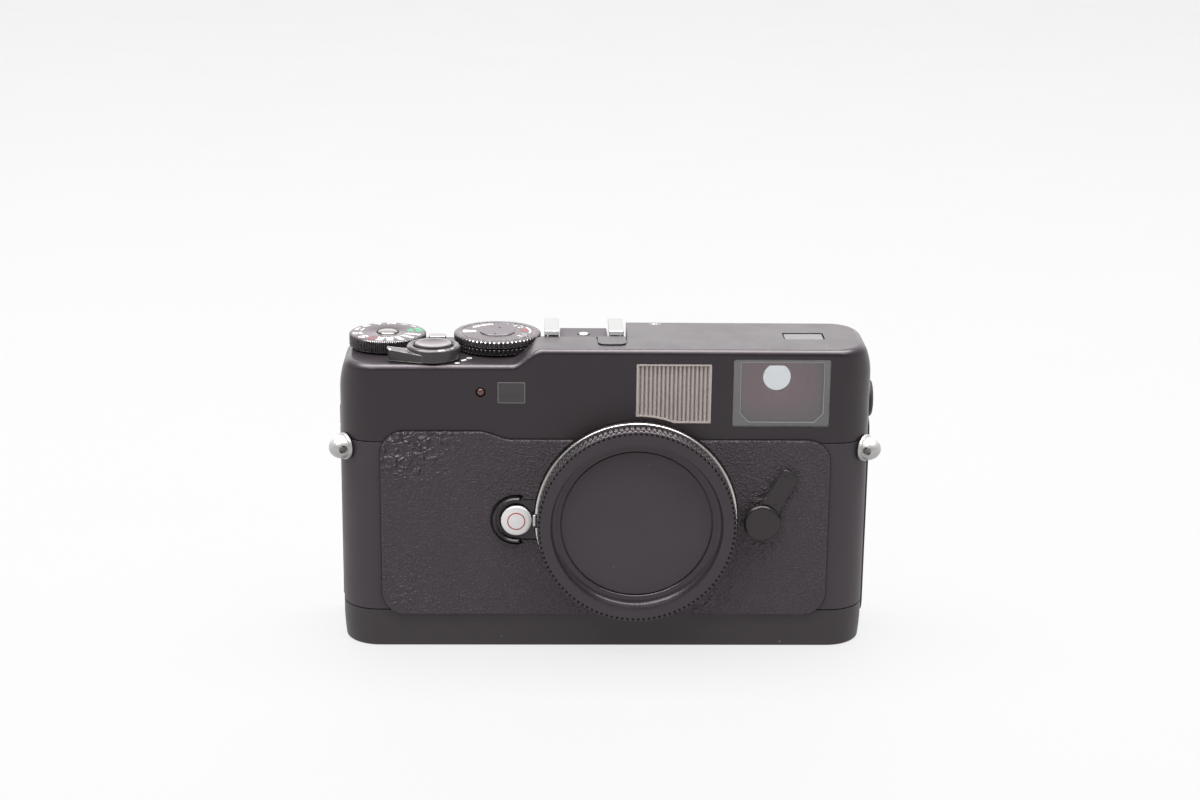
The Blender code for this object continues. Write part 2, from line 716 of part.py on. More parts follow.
def bottom_cover():
    tray = stack(body_outline(0.0), (0.0, *reversed(end_levels(0.0, 1)), BOTTOM_HEIGHT))
    tray = fillet_rim(tray, -1, BASE_FILLET)
    tray = round_ends(tray, 0.0, 0.0, END_ROUND_BASE, END_ROUND_BASE)
    through = (-PAST, FLOOR + PAST)
    tray = cut(
        tray,
        prism(body_outline(WALL), FLOOR, BOTTOM_HEIGHT + PAST),
        rod(BATTERY_X, BATTERY_Y, CELL_RADIUS + 2 * FIT, *through, steps=32),
        rod(LENS_X, 0.0, TRIPOD_RADIUS + FIT, *through),
        rod(REWIND_X, REWIND_Y, REWIND_RADIUS + FIT, *through))
    make_piece("bottom_cover", tray, BLACK_PAINT)


def front_casing():
    front_wall = (FRONT - PAST, FRONT + WALL + PAST)
    wrap = cut(
        prism(body_outline(0.0), CASING_LOW, CASING_HIGH),
        behind(FRAME_BACK),
        prism(body_outline(WALL), CASING_LOW - PAST, CASING_HIGH + PAST),
        lens_hole(NECK_RADIUS + FIT, *front_wall),
        rod(RELEASE_X, RELEASE_Z, RELEASE_RADIUS + FIT, *front_wall, "Y"),
        rod(LEVER_X, LEVER_Z, STEM_RADIUS + FIT, *front_wall, "Y"))
    make_piece("front_casing", wrap, BLACK_PAINT)


def chamber(x, y, radius):
    """A round film chamber that opens to the back."""
    mouth = FRAME_BACK + PAST
    outline = arc(x, y, radius, 180, 360, 18) + [(x + radius, mouth), (x - radius, mouth)]
    return prism(outline, FLOOR_LEVEL, ROOF_LEVEL)


def film_rails():
    rails = []
    depth = (FRAME_BACK - BITE, FILM_PLANE)
    for side in (-1, 1):
        middle = LENS_Z + side * (GATE_HEIGHT / 2 + 2 * RAIL_WIDTH)
        rails.append(box(around(LENS_X, RAIL_LENGTH), depth, around(middle, RAIL_WIDTH)))
    return rails


def main_frame():
    casting = cut(prism(body_outline(WALL + FIT), FRAME_LOW, FRAME_HIGH), behind(FRAME_BACK))
    below = FRAME_LOW - PAST
    above = FRAME_HIGH + PAST
    front = FRAME_FRONT - PAST
    hole = STEM_RADIUS + FIT
    rewind_high = 2 * BASE_SINK + REWIND_LENGTH + REWIND_TRAVEL + FIT
    release_end = FRAME_FRONT + RELEASE_TRAVEL + 2 * FIT
    casting = cut(
        casting,
        box(around(LENS_X, 2 * (BLOCK_HALF_WIDTH + FIT)), (front, GATE_FRONT), (BLOCK_LOW - FIT, above)),
        box(around(LENS_X, GATE_WIDTH), (GATE_FRONT - PAST, FRAME_BACK + PAST), around(LENS_Z, GATE_HEIGHT)),
        chamber(CARTRIDGE_X, CARTRIDGE_Y, CARTRIDGE_RADIUS),
        chamber(TAKEUP_X, TAKEUP_Y, TAKEUP_RADIUS),
        rod(BATTERY_X, BATTERY_Y, CELL_RADIUS + FIT, below, above, steps=28),
        rod(TAKEUP_X, TAKEUP_Y, hole, FLOOR_LEVEL - AXLE_LENGTH - FIT, above),
        rod(CARTRIDGE_X, CARTRIDGE_Y, hole, FLOOR_LEVEL - FORK_SHAFT - FIT, FLOOR_LEVEL + PAST),
        rod(LENS_X, 0.0, TRIPOD_RADIUS + FIT, below, TRIPOD_HEIGHT + FIT),
        rod(REWIND_X, REWIND_Y, REWIND_RADIUS + FIT, below, rewind_high),
        rod(RELEASE_X, RELEASE_Z, hole, front, release_end, "Y"),
        rod(LEVER_X, LEVER_Z, hole, front, FRAME_FRONT + 3 * FIT, "Y"))
    make_piece("main_frame", join(casting, *film_rails()), CAST_ALLOY)


def mount_block():
    block = box(around(LENS_X, 2 * BLOCK_HALF_WIDTH), (FRAME_FRONT, BLOCK_BACK), (BLOCK_LOW, FRAME_HIGH))
    slot = box(around(LENS_X, 2 * ARM_WIDTH), (FRAME_FRONT - PAST, ARM_PIVOT_Y + 2 * ROLLER_RADIUS),
               (ROLLER_Z - 2 * ROLLER_RADIUS, FRAME_HIGH + PAST))
    block = cut(block, lens_hole(THROAT_RADIUS, FRAME_FRONT - PAST, BLOCK_BACK + PAST), slot)
    make_piece("mount_block", block, BLACK_METAL)


def sector(inner, outer, middle, half_angle, low, high):
    outline = (arc(LENS_X, LENS_Z, outer, middle - half_angle, middle + half_angle, 6)
               + arc(LENS_X, LENS_Z, inner, middle + half_angle, middle - half_angle, 6))
    return prism(outline, low, high, "Y")


def lock_tab_span(grow):
    return around(RELEASE_Z + LOCK_TAB_RISE, LOCK_TAB_WIDTH + 2 * grow)


def mount_ring():
    """Bayonet ring: a flange, a neck through the front and claws with gaps between them."""
    flange_back = FLANGE_FACE + MOUNT_FLANGE
    claw_back = FLANGE_FACE + CLAW_THICKNESS
    neck_back = FRAME_FRONT - FIT
    profile = [(CLAW_RADIUS, FLANGE_FACE), (MOUNT_RADIUS - EDGE, FLANGE_FACE),
               (MOUNT_RADIUS, FLANGE_FACE + EDGE), (MOUNT_RADIUS, flange_back), (NECK_RADIUS, flange_back),
               (NECK_RADIUS, neck_back), (BAYONET_RADIUS, neck_back), (BAYONET_RADIUS, claw_back),
               (CLAW_RADIUS, claw_back)]
    ring = turned(profile, (LENS_X, 0.0, LENS_Z), "Y", steps=36)
    ahead_of_ring = FLANGE_FACE - PAST
    gap_span = (ahead_of_ring, claw_back + EDGE)
    gaps = [sector(CLAW_RADIUS - PAST, BAYONET_RADIUS, middle, CLAW_GAP_HALF, *gap_span)
            for middle in CLAW_GAPS]
    left = LENS_X - MOUNT_RADIUS
    notch = box((left - PAST, left + 2 * FIT), (ahead_of_ring, flange_back + PAST), lock_tab_span(FIT))
    make_piece("mount_ring", cut(ring, notch, *gaps), NICKEL)


def body_cap():
    """Knurled cup with a coved recess in front, and a tube with bayonet lugs behind."""
    centre = (LENS_X, 0.0, LENS_Z)
    back = FLANGE_FACE - FIT
    face = back - CAP_DEPTH
    floor = face + CAP_RECESS_DEPTH
    disc = floor + CAP_DISC_SINK
    opening = CAP_RADIUS - CAP_RIM
    disc_radius = opening - CAP_COVE
    tube_out = CLAW_RADIUS - FIT
    tube_in = tube_out - CAP_WALL
    tube_end = FLANGE_FACE + CAP_TUBE_LENGTH
    lug_front = FLANGE_FACE + CLAW_THICKNESS + 2 * FIT
    cup = knurled(LENS_X, LENS_Z, [(back, CAP_RADIUS, CAP_TOOTH), (face + 3 * EDGE, CAP_RADIUS, CAP_TOOTH),
                                   (face, CAP_RADIUS - 2 * CAP_TOOTH, 0.0)], CAP_TEETH, "Y")
    hollow = turned([(0.0, face - PAST), (opening, face - PAST), (opening, face),
                     (opening - EDGE, floor - 3 * EDGE), (opening - 3 * EDGE, floor),
                     (disc_radius + EDGE, floor), (disc_radius, disc), (0.0, disc)], centre, "Y", steps=32)
    boss = prism(circle(LENS_X, LENS_Z, tube_out, 36), back - BITE, tube_end, "Y")
    inside = prism(circle(LENS_X, LENS_Z, tube_in, 32), disc + WALL, tube_end + PAST, "Y")
    lug_radius = BAYONET_RADIUS - 2 * FIT
    lug_half = CLAW_GAP_HALF - CLAW_PLAY
    lugs = [sector(tube_out - BITE, lug_radius, middle, lug_half, lug_front, tube_end - EDGE)
            for middle in CLAW_GAPS]
    cup = cut(join(cup, boss, *lugs), hollow, inside)
    make_piece("body_cap", cup, BLACK_PLASTIC, (LENS_X, FLANGE_FACE, LENS_Z))


def panel_outline():
    """Front leather: the top edge stands higher on the left and falls in a short wave."""
    left, right = -HALF + PANEL_MARGIN, HALF - PANEL_MARGIN
    low = BOTTOM_HEIGHT - PANEL_LAP
    high = CASING_HIGH + PANEL_LAP
    corner = PANEL_CORNER
    start = -HALF + PANEL_STEP_INSET
    wave = [(start + PANEL_WAVE * i / 6, high + PANEL_STEP * (1 - smooth(i / 6))) for i in range(7)]
    return (arc(left + corner, low + corner, corner, 180, 270, 5)
            + arc(right - corner, low + corner, corner, 270, 360, 5)
            + arc(right - corner, high - corner, corner, 0, 90, 5)
            + wave[::-1]
            + arc(left + corner, high + PANEL_STEP - corner, corner, 90, 180, 5))


def guard_arc(radius, start, end):
    return arc(RELEASE_X, RELEASE_Z, radius, start, end, 14)


def pad_outline(grow):
    """Flat pad of the lens release: round on the left, straight towards the mount."""
    radius = GUARD_RADIUS + grow
    half = GUARD_RADIUS - GUARD_WALL + grow
    neck = RELEASE_X + radius * math.cos(math.radians(GUARD_ANGLE))
    reach = LENS_X - MOUNT_RADIUS + PAST
    low, high = around(RELEASE_Z, 2 * half)
    straight = [(neck, low), (reach, low), (reach, high), (neck, high)]
    return guard_arc(radius, GUARD_ANGLE, 360 - GUARD_ANGLE) + straight


def leather_front():
    through = (SKIN_FRONT - PAST, SKIN_BACK + PAST)
    sheet = cut(
        prism(panel_outline(), SKIN_FRONT, SKIN_BACK, "Y"),
        lens_hole(MOUNT_RADIUS + FIT, *through),
        prism(pad_outline(FIT), *through, "Y"),
        rod(LEVER_X, LEVER_Z, STEM_RADIUS + FIT, *through, "Y"))
    make_piece("leather_front", sheet, LEATHERETTE)


def release_guard():
    front = SKIN_BACK - PAD_THICKNESS
    through = (front - GUARD_HEIGHT - PAST, SKIN_BACK + PAST)
    crescent = (guard_arc(GUARD_RADIUS, GUARD_ANGLE, 360 - GUARD_ANGLE)
                + guard_arc(GUARD_RADIUS - GUARD_WALL, 360 - GUARD_ANGLE, GUARD_ANGLE))
    pad = join(prism(pad_outline(0.0), front, SKIN_BACK, "Y"),
               prism(crescent, front - GUARD_HEIGHT, front + PAD_THICKNESS / 2, "Y"))
    tab_slot = box((RELEASE_X + RELEASE_RADIUS, LENS_X), through,
                   lock_tab_span(FIT))
    pad = cut(pad, rod(RELEASE_X, RELEASE_Z, RELEASE_RADIUS + FIT, *through, "Y"), tab_slot,
              lens_hole(MOUNT_RADIUS + FIT, *through))
    make_piece("release_guard", pad, BLACK_METAL)


def lens_release():
    back = SKIN_BACK - PAD_THICKNESS - FIT
    face = back - RELEASE_HEIGHT
    stem = STEM_RADIUS - FIT / 2
    stem_end = FRAME_FRONT + FIT
    origin = (RELEASE_X, face, RELEASE_Z)
    profile = [(0.0, face), (RELEASE_RADIUS - EDGE, face), (RELEASE_RADIUS, face + EDGE),
               (RELEASE_RADIUS, back), (stem, back), (stem, stem_end), (0.0, stem_end)]
    button = turned(profile, (RELEASE_X, 0.0, RELEASE_Z), "Y", steps=24)
    make_piece("lens_release_button", button, NICKEL, origin)
    tab = box((RELEASE_X + RELEASE_RADIUS + FIT, LENS_X - MOUNT_RADIUS + FIT),
              (FLANGE_FACE + FIT / 2, FLANGE_FACE + MOUNT_FLANGE - FIT / 2),
              lock_tab_span(0.0))
    make_piece("mount_lock_tab", tab, NICKEL, origin)


def frame_lever():
    back = SKIN_FRONT - FIT
    front = back - LEVER_THICKNESS
    half = LEVER_WIDTH / 2
    root = 40.0
    tip = LEVER_LENGTH
    outline = arc(0.0, 0.0, LEVER_ROOT_RADIUS, root, 360 - root, 14)
    bevel = 3 * EDGE
    outline += [(tip - bevel, -half), (tip, -half + bevel), (tip, half - bevel), (tip - bevel, half)]
    along, across = math.cos(math.radians(LEVER_LEAN)), math.sin(math.radians(LEVER_LEAN))
    spun = [(LEVER_X + u * along - v * across, LEVER_Z + u * across + v * along) for u, v in outline]
    origin = (LEVER_X, back, LEVER_Z)
    arm = cut(prism(spun, front, back, "Y"),
              rod(LEVER_X, LEVER_Z, STEM_RADIUS, front - PAST, back + PAST, "Y"))
    make_piece("frame_lever_arm", arm, BLACK_METAL, origin)
    stem = STEM_RADIUS - FIT
    seat = front - FIT
    face = seat - LEVER_CAP_HEIGHT
    end = FRAME_FRONT + FIT
    profile = [(0.0, face), (LEVER_CAP_RADIUS - EDGE, face), (LEVER_CAP_RADIUS, face + EDGE),
               (LEVER_CAP_RADIUS, seat), (stem, seat), (stem, end), (0.0, end)]
    make_piece("frame_lever_cap", turned(profile, (LEVER_X, 0.0, LEVER_Z), "Y"), BLACK_METAL, origin)


def ribbed_sheet(front):
    """A sheet with upright ribs on its front, seen from above as a row of ridges."""
    left, right = ILLUMINATOR_LEFT, ILLUMINATOR_RIGHT
    pitch = (right - left) / ILLUMINATOR_RIBS
    ridges = []
    for i in range(ILLUMINATOR_RIBS):
        ridges += [(left + i * pitch, front + RIB_DEPTH), (left + (i + 0.5) * pitch, front)]
    outline = ridges + [(right, front + RIB_DEPTH), (right, front + GLASS), (left, front + GLASS)]
    return prism(outline, TOP_SEAM, PLATEAU)


def windows():
    front = FRONT + GLASS_SINK
    back = front + GLASS
    make_piece("finder_window", prism(finder_outline(-FIT), front, back, "Y"), CLEAR_GLASS)
    sheet = common(ribbed_sheet(front), prism(illuminator_outline(-FIT), front - PAST, back + PAST, "Y"))
    make_piece("illuminator_window", sheet, FROSTED)
    pane = prism(range_outline(-FIT), front + EDGE, back + EDGE, "Y")
    make_piece("rangefinder_window", pane, CLEAR_GLASS)
    lamp = [(0.0, FRONT - EDGE), (LAMP_RADIUS / 2, FRONT - EDGE / 2), (LAMP_RADIUS, FRONT + EDGE),
            (LAMP_RADIUS, FRONT + WALL), (0.0, FRONT + WALL)]
    make_piece("status_lamp", turned(lamp, (LAMP_X, 0.0, LAMP_Z), "Y", steps=14), LAMP_RED)
    pane = prism(counter_outline(-FIT), PLATEAU - GLASS_SINK - GLASS, PLATEAU - GLASS_SINK)
    make_piece("counter_window", pane, CLEAR_GLASS)


def eyepiece():
    centre = (EYEPIECE_X, 0.0, EYEPIECE_Z)
    neck = EYEPIECE_HOLE + EYEPIECE_NECK
    bore = EYEPIECE_HOLE + EYEPIECE_NECK / 2
    inner = BACK - WALL
    seat = BACK + FIT
    end = seat + EYEPIECE_DEPTH
    bevel = 2 * EDGE
    ring = turned([(bore, inner), (neck, inner), (neck, seat), (EYEPIECE_RADIUS, seat),
                   (EYEPIECE_RADIUS, end - bevel), (EYEPIECE_RADIUS - bevel, end), (bore, end)], centre, "Y")
    make_piece("eyepiece_ring", ring, BLACK_PLASTIC)
    glass = bore - FIT
    profile = [(0.0, seat), (glass, seat + EDGE), (glass, end - 3 * EDGE), (0.0, end - EDGE)]
    lens = turned(profile, centre, "Y", steps=20)
    make_piece("eyepiece_lens", lens, CLEAR_GLASS)


def finder_tunnel():
    """See-through way of the finder: a box with cut lower corners, then a hole with a flat top."""
    left, right = FINDER_LEFT + TUNNEL_INSET, FINDER_RIGHT - TUNNEL_INSET
    low, high = FINDER_LOW + TUNNEL_INSET / 2, FINDER_HIGH - TUNNEL_INSET / 2
    slant = TUNNEL_INSET
    outline = [(left + slant, low), (right - slant, low), (right, low + slant), (right, high), (left, high),
               (left, low + slant)]
    half = math.degrees(math.asin(EYEPIECE_FLAT / EYEPIECE_HOLE))
    hole = arc(EYEPIECE_X, EYEPIECE_Z, EYEPIECE_HOLE, 180 - half, 360 + half, 20)
    stop = BRIDGE_BACK - TUNNEL_BACK
    return prism(outline, BRIDGE_FRONT - PAST, stop, "Y"), prism(hole, stop - PAST, BRIDGE_BACK + PAST, "Y")


def finder_block():
    """Rangefinder bridge: a long base plate, the finder housing, the mirror's pedestal and two ears."""
    side = (BRIDGE_FRONT, BRIDGE_BACK)
    house_x = (FINDER_LEFT - HOUSE_MARGIN, FINDER_RIGHT + HOUSE_MARGIN)
    foot = BRIDGE_HIGH - BITE
    mirror_y = BRIDGE_FRONT + PEDESTAL_DEPTH / 2
    base = box((BRIDGE_LEFT, house_x[1]), side, (BRIDGE_LOW, BRIDGE_HIGH))
    house = box(house_x, side, (foot, PLATEAU - WALL - FIT))
    pedestal = box(around(RANGE_MIDDLE, MIRROR_WIDTH), (BRIDGE_FRONT, BRIDGE_FRONT + PEDESTAL_DEPTH),
                   (foot, RANGE_LOW - FIT))
    ears = [box(around(LENS_X + turn * (ARM_WIDTH + EAR_WIDTH / 2 + FIT), EAR_WIDTH),
                (BRIDGE_FRONT, 2 * ARM_PIVOT_Y - BRIDGE_FRONT), (foot, ARM_PIVOT_Z + 2 * ARM_PIN_RADIUS))
            for turn in (-1, 1)]
    arm_slot = box(around(LENS_X, 2 * ARM_WIDTH), (BRIDGE_FRONT - PAST, ARM_PIVOT_Y + 2 * ROLLER_RADIUS),
                   (BRIDGE_LOW - PAST, BRIDGE_HIGH + PAST))
    pin_span = around(LENS_X, 2 * (ARM_WIDTH + EAR_WIDTH + PAST))
    pin_hole = rod(ARM_PIVOT_Y, ARM_PIVOT_Z, ARM_PIN_RADIUS + FIT, *pin_span, "X")
    post_low = RANGE_LOW - FIT - STEM_RADIUS
    post_hole = rod(RANGE_MIDDLE, mirror_y, STEM_RADIUS + FIT, post_low - FIT, RANGE_LOW + PAST)
    bridge = cut(join(base, house, pedestal, *ears), *finder_tunnel(), arm_slot, pin_hole, post_hole)
    make_piece("finder_block", bridge, BLACK_METAL)
    mirror = box(around(RANGE_MIDDLE, MIRROR_WIDTH), around(mirror_y, MIRROR_THICKNESS),
                 (RANGE_LOW, RANGE_LOW + MIRROR_HEIGHT))
    post = rod(RANGE_MIDDLE, mirror_y, STEM_RADIUS, post_low, RANGE_LOW + BITE)
    make_piece("rangefinder_mirror", join(mirror, post), CLEAR_GLASS, (RANGE_MIDDLE, mirror_y, RANGE_LOW))


def rangefinder_arm():
    """Cam follower of the rangefinder: a lever on a cross pin with a roller at its foot."""
    front = FRAME_FRONT + FIT
    pin_span = around(LENS_X, 2 * (ARM_WIDTH + EAR_WIDTH))
    roller_span = around(LENS_X, ARM_WIDTH + 2 * EDGE)
    lever = box(around(LENS_X, ARM_WIDTH), (front, ARM_PIVOT_Y + ARM_PIN_RADIUS + EDGE),
                (ROLLER_Z, ARM_PIVOT_Z + ARM_PIN_RADIUS + EDGE))
    pin = rod(ARM_PIVOT_Y, ARM_PIVOT_Z, ARM_PIN_RADIUS, *pin_span, "X")
    roller = rod(front + ROLLER_RADIUS, ROLLER_Z, ROLLER_RADIUS, *roller_span, "X", steps=18)
    make_piece("rangefinder_arm", join(lever, pin, roller), NICKEL, (LENS_X, ARM_PIVOT_Y, ARM_PIVOT_Z))


def shutter_dial():
    low = DECK_SEAT
    high = low + DIAL_HEIGHT
    origin = (DIAL_X, DIAL_Y, low)
    levels = [(low, DIAL_RADIUS - DIAL_TOOTH, 0.0), (low + EDGE, DIAL_RADIUS, DIAL_TOOTH),
              (high - EDGE, DIAL_RADIUS, DIAL_TOOTH), (high, DIAL_RADIUS - 1.5 * EDGE, 0.0)]
    disc = knurled(DIAL_X, DIAL_Y, levels, DIAL_TEETH)
    shaft = rod(DIAL_X, DIAL_Y, SHAFT_RADIUS, DECK - SHAFT_LENGTH, low + BITE)
    well_low = high - LOCK_DEPTH - LOCK_TRAVEL - FIT
    well = rod(DIAL_X, DIAL_Y, LOCK_RADIUS + FIT, well_low, high + PAST)
    make_piece("shutter_dial", cut(join(disc, shaft), well), BLACK_METAL, origin)
    foot = high - LOCK_DEPTH
    top = high + LOCK_PROUD
    lock = turned([(0.0, foot), (LOCK_RADIUS, foot), (LOCK_RADIUS, top - EDGE), (LOCK_RADIUS - EDGE, top),
                   (0.0, top)], (DIAL_X, DIAL_Y, 0.0), steps=20)
    make_piece("dial_lock_button", lock, BLACK_METAL, origin)


def compensation_dial():
    x, y = COMPENSATION_X, COMPENSATION_Y
    radius = COMPENSATION_RADIUS
    low = DECK_SEAT
    ring_high = low + SPEED_RING_HEIGHT
    seat = ring_high + FIT
    high = seat + COMPENSATION_HEIGHT
    origin = (x, y, low)
    ring = knurled(x, y, [(low, radius - 2 * EDGE, 0.0), (low + EDGE, radius - EDGE / 2, DIAL_TOOTH),
                          (ring_high, radius - EDGE / 2, DIAL_TOOTH)], COMPENSATION_TEETH)
    bore = rod(x, y, SHAFT_RADIUS + FIT, low - PAST, ring_high + PAST)
    make_piece("film_speed_ring", cut(ring, bore), BLACK_METAL, origin)
    disc = knurled(x, y, [(seat, radius, DIAL_TOOTH), (high - EDGE, radius, DIAL_TOOTH),
                          (high, radius - 2 * EDGE, 0.0)], COMPENSATION_TEETH)
    shaft = rod(x, y, SHAFT_RADIUS, DECK - SHAFT_LENGTH, seat + BITE)
    hub_top = high + HUB_RAISE
    hub = turned([(0.0, high - BITE), (HUB_RADIUS, high - BITE), (HUB_RADIUS, hub_top - HUB_RAISE / 2),
                  (HUB_RADIUS - EDGE, hub_top), (0.0, hub_top)], (x, y, 0.0))
    make_piece("compensation_dial", join(disc, shaft, hub), BLACK_METAL, origin)


def switch_tab(low, high, bore, collar):
    """Pointer of the switch collar: it springs from the ring and rises towards its tip."""
    tip = BUTTON_X - TAB_REACH
    outline = [(BUTTON_X - bore - BITE, BUTTON_Y - 0.2 * bore), (tip + BITE, BUTTON_Y - 0.28 * collar),
               (tip, BUTTON_Y - 0.37 * collar), (tip + EDGE, BUTTON_Y - 0.58 * collar),
               (BUTTON_X - 0.33 * collar, BUTTON_Y - 0.95 * collar),
               (BUTTON_X - 0.4 * bore, BUTTON_Y - bore - BITE),
               (BUTTON_X - 0.85 * bore, BUTTON_Y - 0.72 * bore)]
    height = high - low
    shares = (0.7, 0.95, 0.95, 0.88, 0.57, 0.57, 0.63)
    tab = loft([[(x, y, low) for x, y in outline],
                [(x, y, low + height * share) for (x, y), share in zip(outline, shares)]])
    bmesh.ops.triangulate(tab, faces=tab.faces)
    return tab


def shutter_release():
    centre = (BUTTON_X, BUTTON_Y, 0.0)
    low = DECK_SEAT
    high = low + COLLAR_HEIGHT
    bore = BUTTON_RADIUS + FIT
    collar = COLLAR_RADIUS
    origin = (BUTTON_X, BUTTON_Y, low)
    ring = turned([(bore, low), (collar, low), (collar, high - EDGE), (collar - EDGE, high),
                   (bore + EDGE, high), (bore, high - EDGE)], centre, steps=28)
    make_piece("switch_collar", join(ring, switch_tab(low, high, bore, collar)), BLACK_METAL, origin)
    top = high + BUTTON_PROUD
    foot = high - BUTTON_TRAVEL
    end = DECK - SHAFT_LENGTH
    dish = turned([(0.0, top - EDGE), (0.6 * BUTTON_RADIUS, top - EDGE / 2), (BUTTON_RADIUS - EDGE, top),
                   (BUTTON_RADIUS, top - EDGE), (BUTTON_RADIUS, foot), (BUTTON_STEM, foot),
                   (BUTTON_STEM, end), (0.0, end)], centre)
    make_piece("shutter_button", dish, BLACK_METAL, origin)
    mark = rounded(*around(INDEX_X, INDEX_WIDTH), *around(DIAL_Y, INDEX_DEPTH), 2 * EDGE, steps=3)
    make_piece("index_block", prism(mark, low, low + INDEX_HEIGHT), NICKEL)


def accessory_shoe():
    low = DECK_SEAT
    floor = low + SHOE_BASE
    under = floor + SHOE_SLOT_HEIGHT
    high = under + SHOE_LIP
    inner = SHOE_SLOT_WIDTH / 2
    gap = SHOE_OPENING / 2
    right = [(SHOE_HALF, low), (SHOE_HALF, high - EDGE), (SHOE_HALF - EDGE, high), (gap, high),
             (gap, under), (inner, under), (inner, floor)]
    outline = [(SHOE_X + u, z) for u, z in right] + [(SHOE_X - u, z) for u, z in reversed(right)]
    make_piece("accessory_shoe", prism(outline, SHOE_FRONT, SHOE_BACK, "Y"), NICKEL)
    seat = floor + FIT
    top = seat + CONTACT_PLATE
    middle = (SHOE_FRONT + SHOE_BACK) / 2
    outline = rounded(*around(SHOE_X, SHOE_OPENING - 2 * FIT), SHOE_FRONT + 2 * EDGE, SHOE_BACK - EDGE,
                      2 * EDGE, steps=3)
    plate = prism(outline, seat, top)
    hole = rod(SHOE_X, middle, CONTACT_RADIUS + FIT, floor, top + PAST)
    make_piece("shoe_contact_plate", cut(plate, hole), BLACK_PLASTIC)
    rim = CONTACT_RADIUS - EDGE
    profile = [(0.0, seat), (CONTACT_RADIUS, seat), (CONTACT_RADIUS, top), (rim, top + EDGE),
               (0.0, top + EDGE)]
    contact = turned(profile, (SHOE_X, middle, 0.0), steps=20)
    make_piece("shoe_contact", contact, NICKEL)
    make_piece("access_plate", prism(access_outline(0.0), PLATEAU, PLATEAU + ACCESS_RAISE), BLACK_PAINT)


def strap_lugs():
    """Domed studs with a cross hole, standing on the rounded front corners."""
    seat = FRONT_CORNER + FIT
    top = seat + LUG_FLANGE
    dome = LUG_RADIUS - LUG_SHOULDER
    for name, side in (("strap_lug_left", -1), ("strap_lug_right", 1)):
        profile = [(0.0, seat), (LUG_RADIUS, seat), (LUG_RADIUS, top - EDGE), (LUG_RADIUS - EDGE, top)]
        profile += [(dome * math.cos(turn), top + (LUG_HEIGHT - LUG_FLANGE) * math.sin(turn))
                    for turn in (0.0, 0.4, 0.8, 1.2)]
        profile.append((0.0, seat + LUG_HEIGHT))
        stud = turned(profile, (0.0, 0.0, 0.0), "X", steps=18)
        stud = cut(stud, rod(top + 1.2 * LUG_HOLE, 0.0, LUG_HOLE, -LUG_RADIUS, LUG_RADIUS, "Y", steps=14))
        turn = Matrix.Rotation(math.radians(side * LUG_ANGLE - 90), 4, "Z")
        spot = Matrix.Translation((side * (HALF - FRONT_CORNER), FRONT + FRONT_CORNER, TOP_SEAM - LUG_DROP))
        bmesh.ops.transform(stud, matrix=spot @ turn, verts=stud.verts)
        make_piece(name, stud, NICKEL)


def sync_socket():
    seat = HALF + FIT
    face = seat + SYNC_HEIGHT
    floor = seat + BITE
    bevel = 2 * EDGE
    profile = [(0.0, seat), (SYNC_RADIUS, seat), (SYNC_RADIUS, face - bevel), (SYNC_RADIUS - bevel, face),
               (SYNC_BORE, face), (SYNC_BORE, floor), (0.0, floor)]
    make_piece("sync_socket", turned(profile, (0.0, SYNC_Y, TOP_SEAM + SYNC_RISE), "X"), BLACK_PLASTIC)


def ear_spans():
    """Heights of the lower and the upper hinge ear."""
    upper_end = CASING_HIGH + LIP_ABOVE
    return (CASING_LOW - 2 * FIT - HINGE_EAR, CASING_LOW - 2 * FIT), (upper_end - HINGE_EAR, upper_end)


def film_window_span(grow):
    width = FILM_WINDOW_WIDTH + 2 * grow
    height = FILM_WINDOW_HEIGHT + 2 * grow
    return around(CARTRIDGE_X, width), around(LENS_Z, height)


def back_door():
    (_, lower_end), (upper_start, _) = ear_spans()
    tube_span = (lower_end + FIT, upper_start - FIT)
    side = HALF + FIT
    grown = body_outline(-FIT - LIP_THICKNESS)
    leaf = cut(prism(grown, CASING_LOW, CASING_HIGH), behind(BACK), ahead(DOOR_INNER))
    through = (DOOR_INNER - PAST, BACK + PAST)
    relief = box((HINGE_X - 2 * HINGE_RADIUS, HINGE_X + 1.5 * HINGE_RADIUS), through,
                 (tube_span[1], CASING_HIGH + PAST))
    tube = rod(HINGE_X, HINGE_Y, HINGE_RADIUS, *tube_span)
    low, high = BOTTOM_HEIGHT - LIP_BELOW, CASING_HIGH + LIP_ABOVE
    lip_front = BACK - LIP_REACH
    lip = cut(prism(grown, low, high), prism(body_outline(-FIT), low - PAST, high + PAST))
    lip = common(lip, prism(rounded(lip_front, BACK, low, high, LIP_CORNER), HALF - BACK_CORNER,
                            side + LIP_THICKNESS + PAST, "X"))
    latch_y = around(lip_front + LATCH_FROM_LIP, LATCH_WIDTH)
    latch_high = LENS_Z + LATCH_RISE
    latch_low = latch_high - LATCH_LENGTH
    latch_room = box((side - PAST, side + LIP_THICKNESS + PAST), (latch_y[0] - FIT, latch_y[1] + FIT),
                     (latch_low - LATCH_TRAVEL - FIT, latch_high + FIT))
    window_x, window_z = film_window_span(FIT)
    window = box(window_x, through, window_z)
    bore = rod(HINGE_X, HINGE_Y, HINGE_PIN_RADIUS + FIT, CASING_LOW - PAST, CASING_HIGH + PAST)
    leaf = cut(join(cut(leaf, relief), tube, lip), latch_room, window, bore)
    make_piece("back_door", leaf, BLACK_PAINT, DOOR_ORIGIN)
    outline = rounded(*latch_y, latch_low, latch_high, 2 * EDGE, steps=3)
    latch = prism(outline, side, side + LIP_THICKNESS + EDGE, "X")
    make_piece("door_latch", latch, BLACK_METAL, DOOR_ORIGIN)


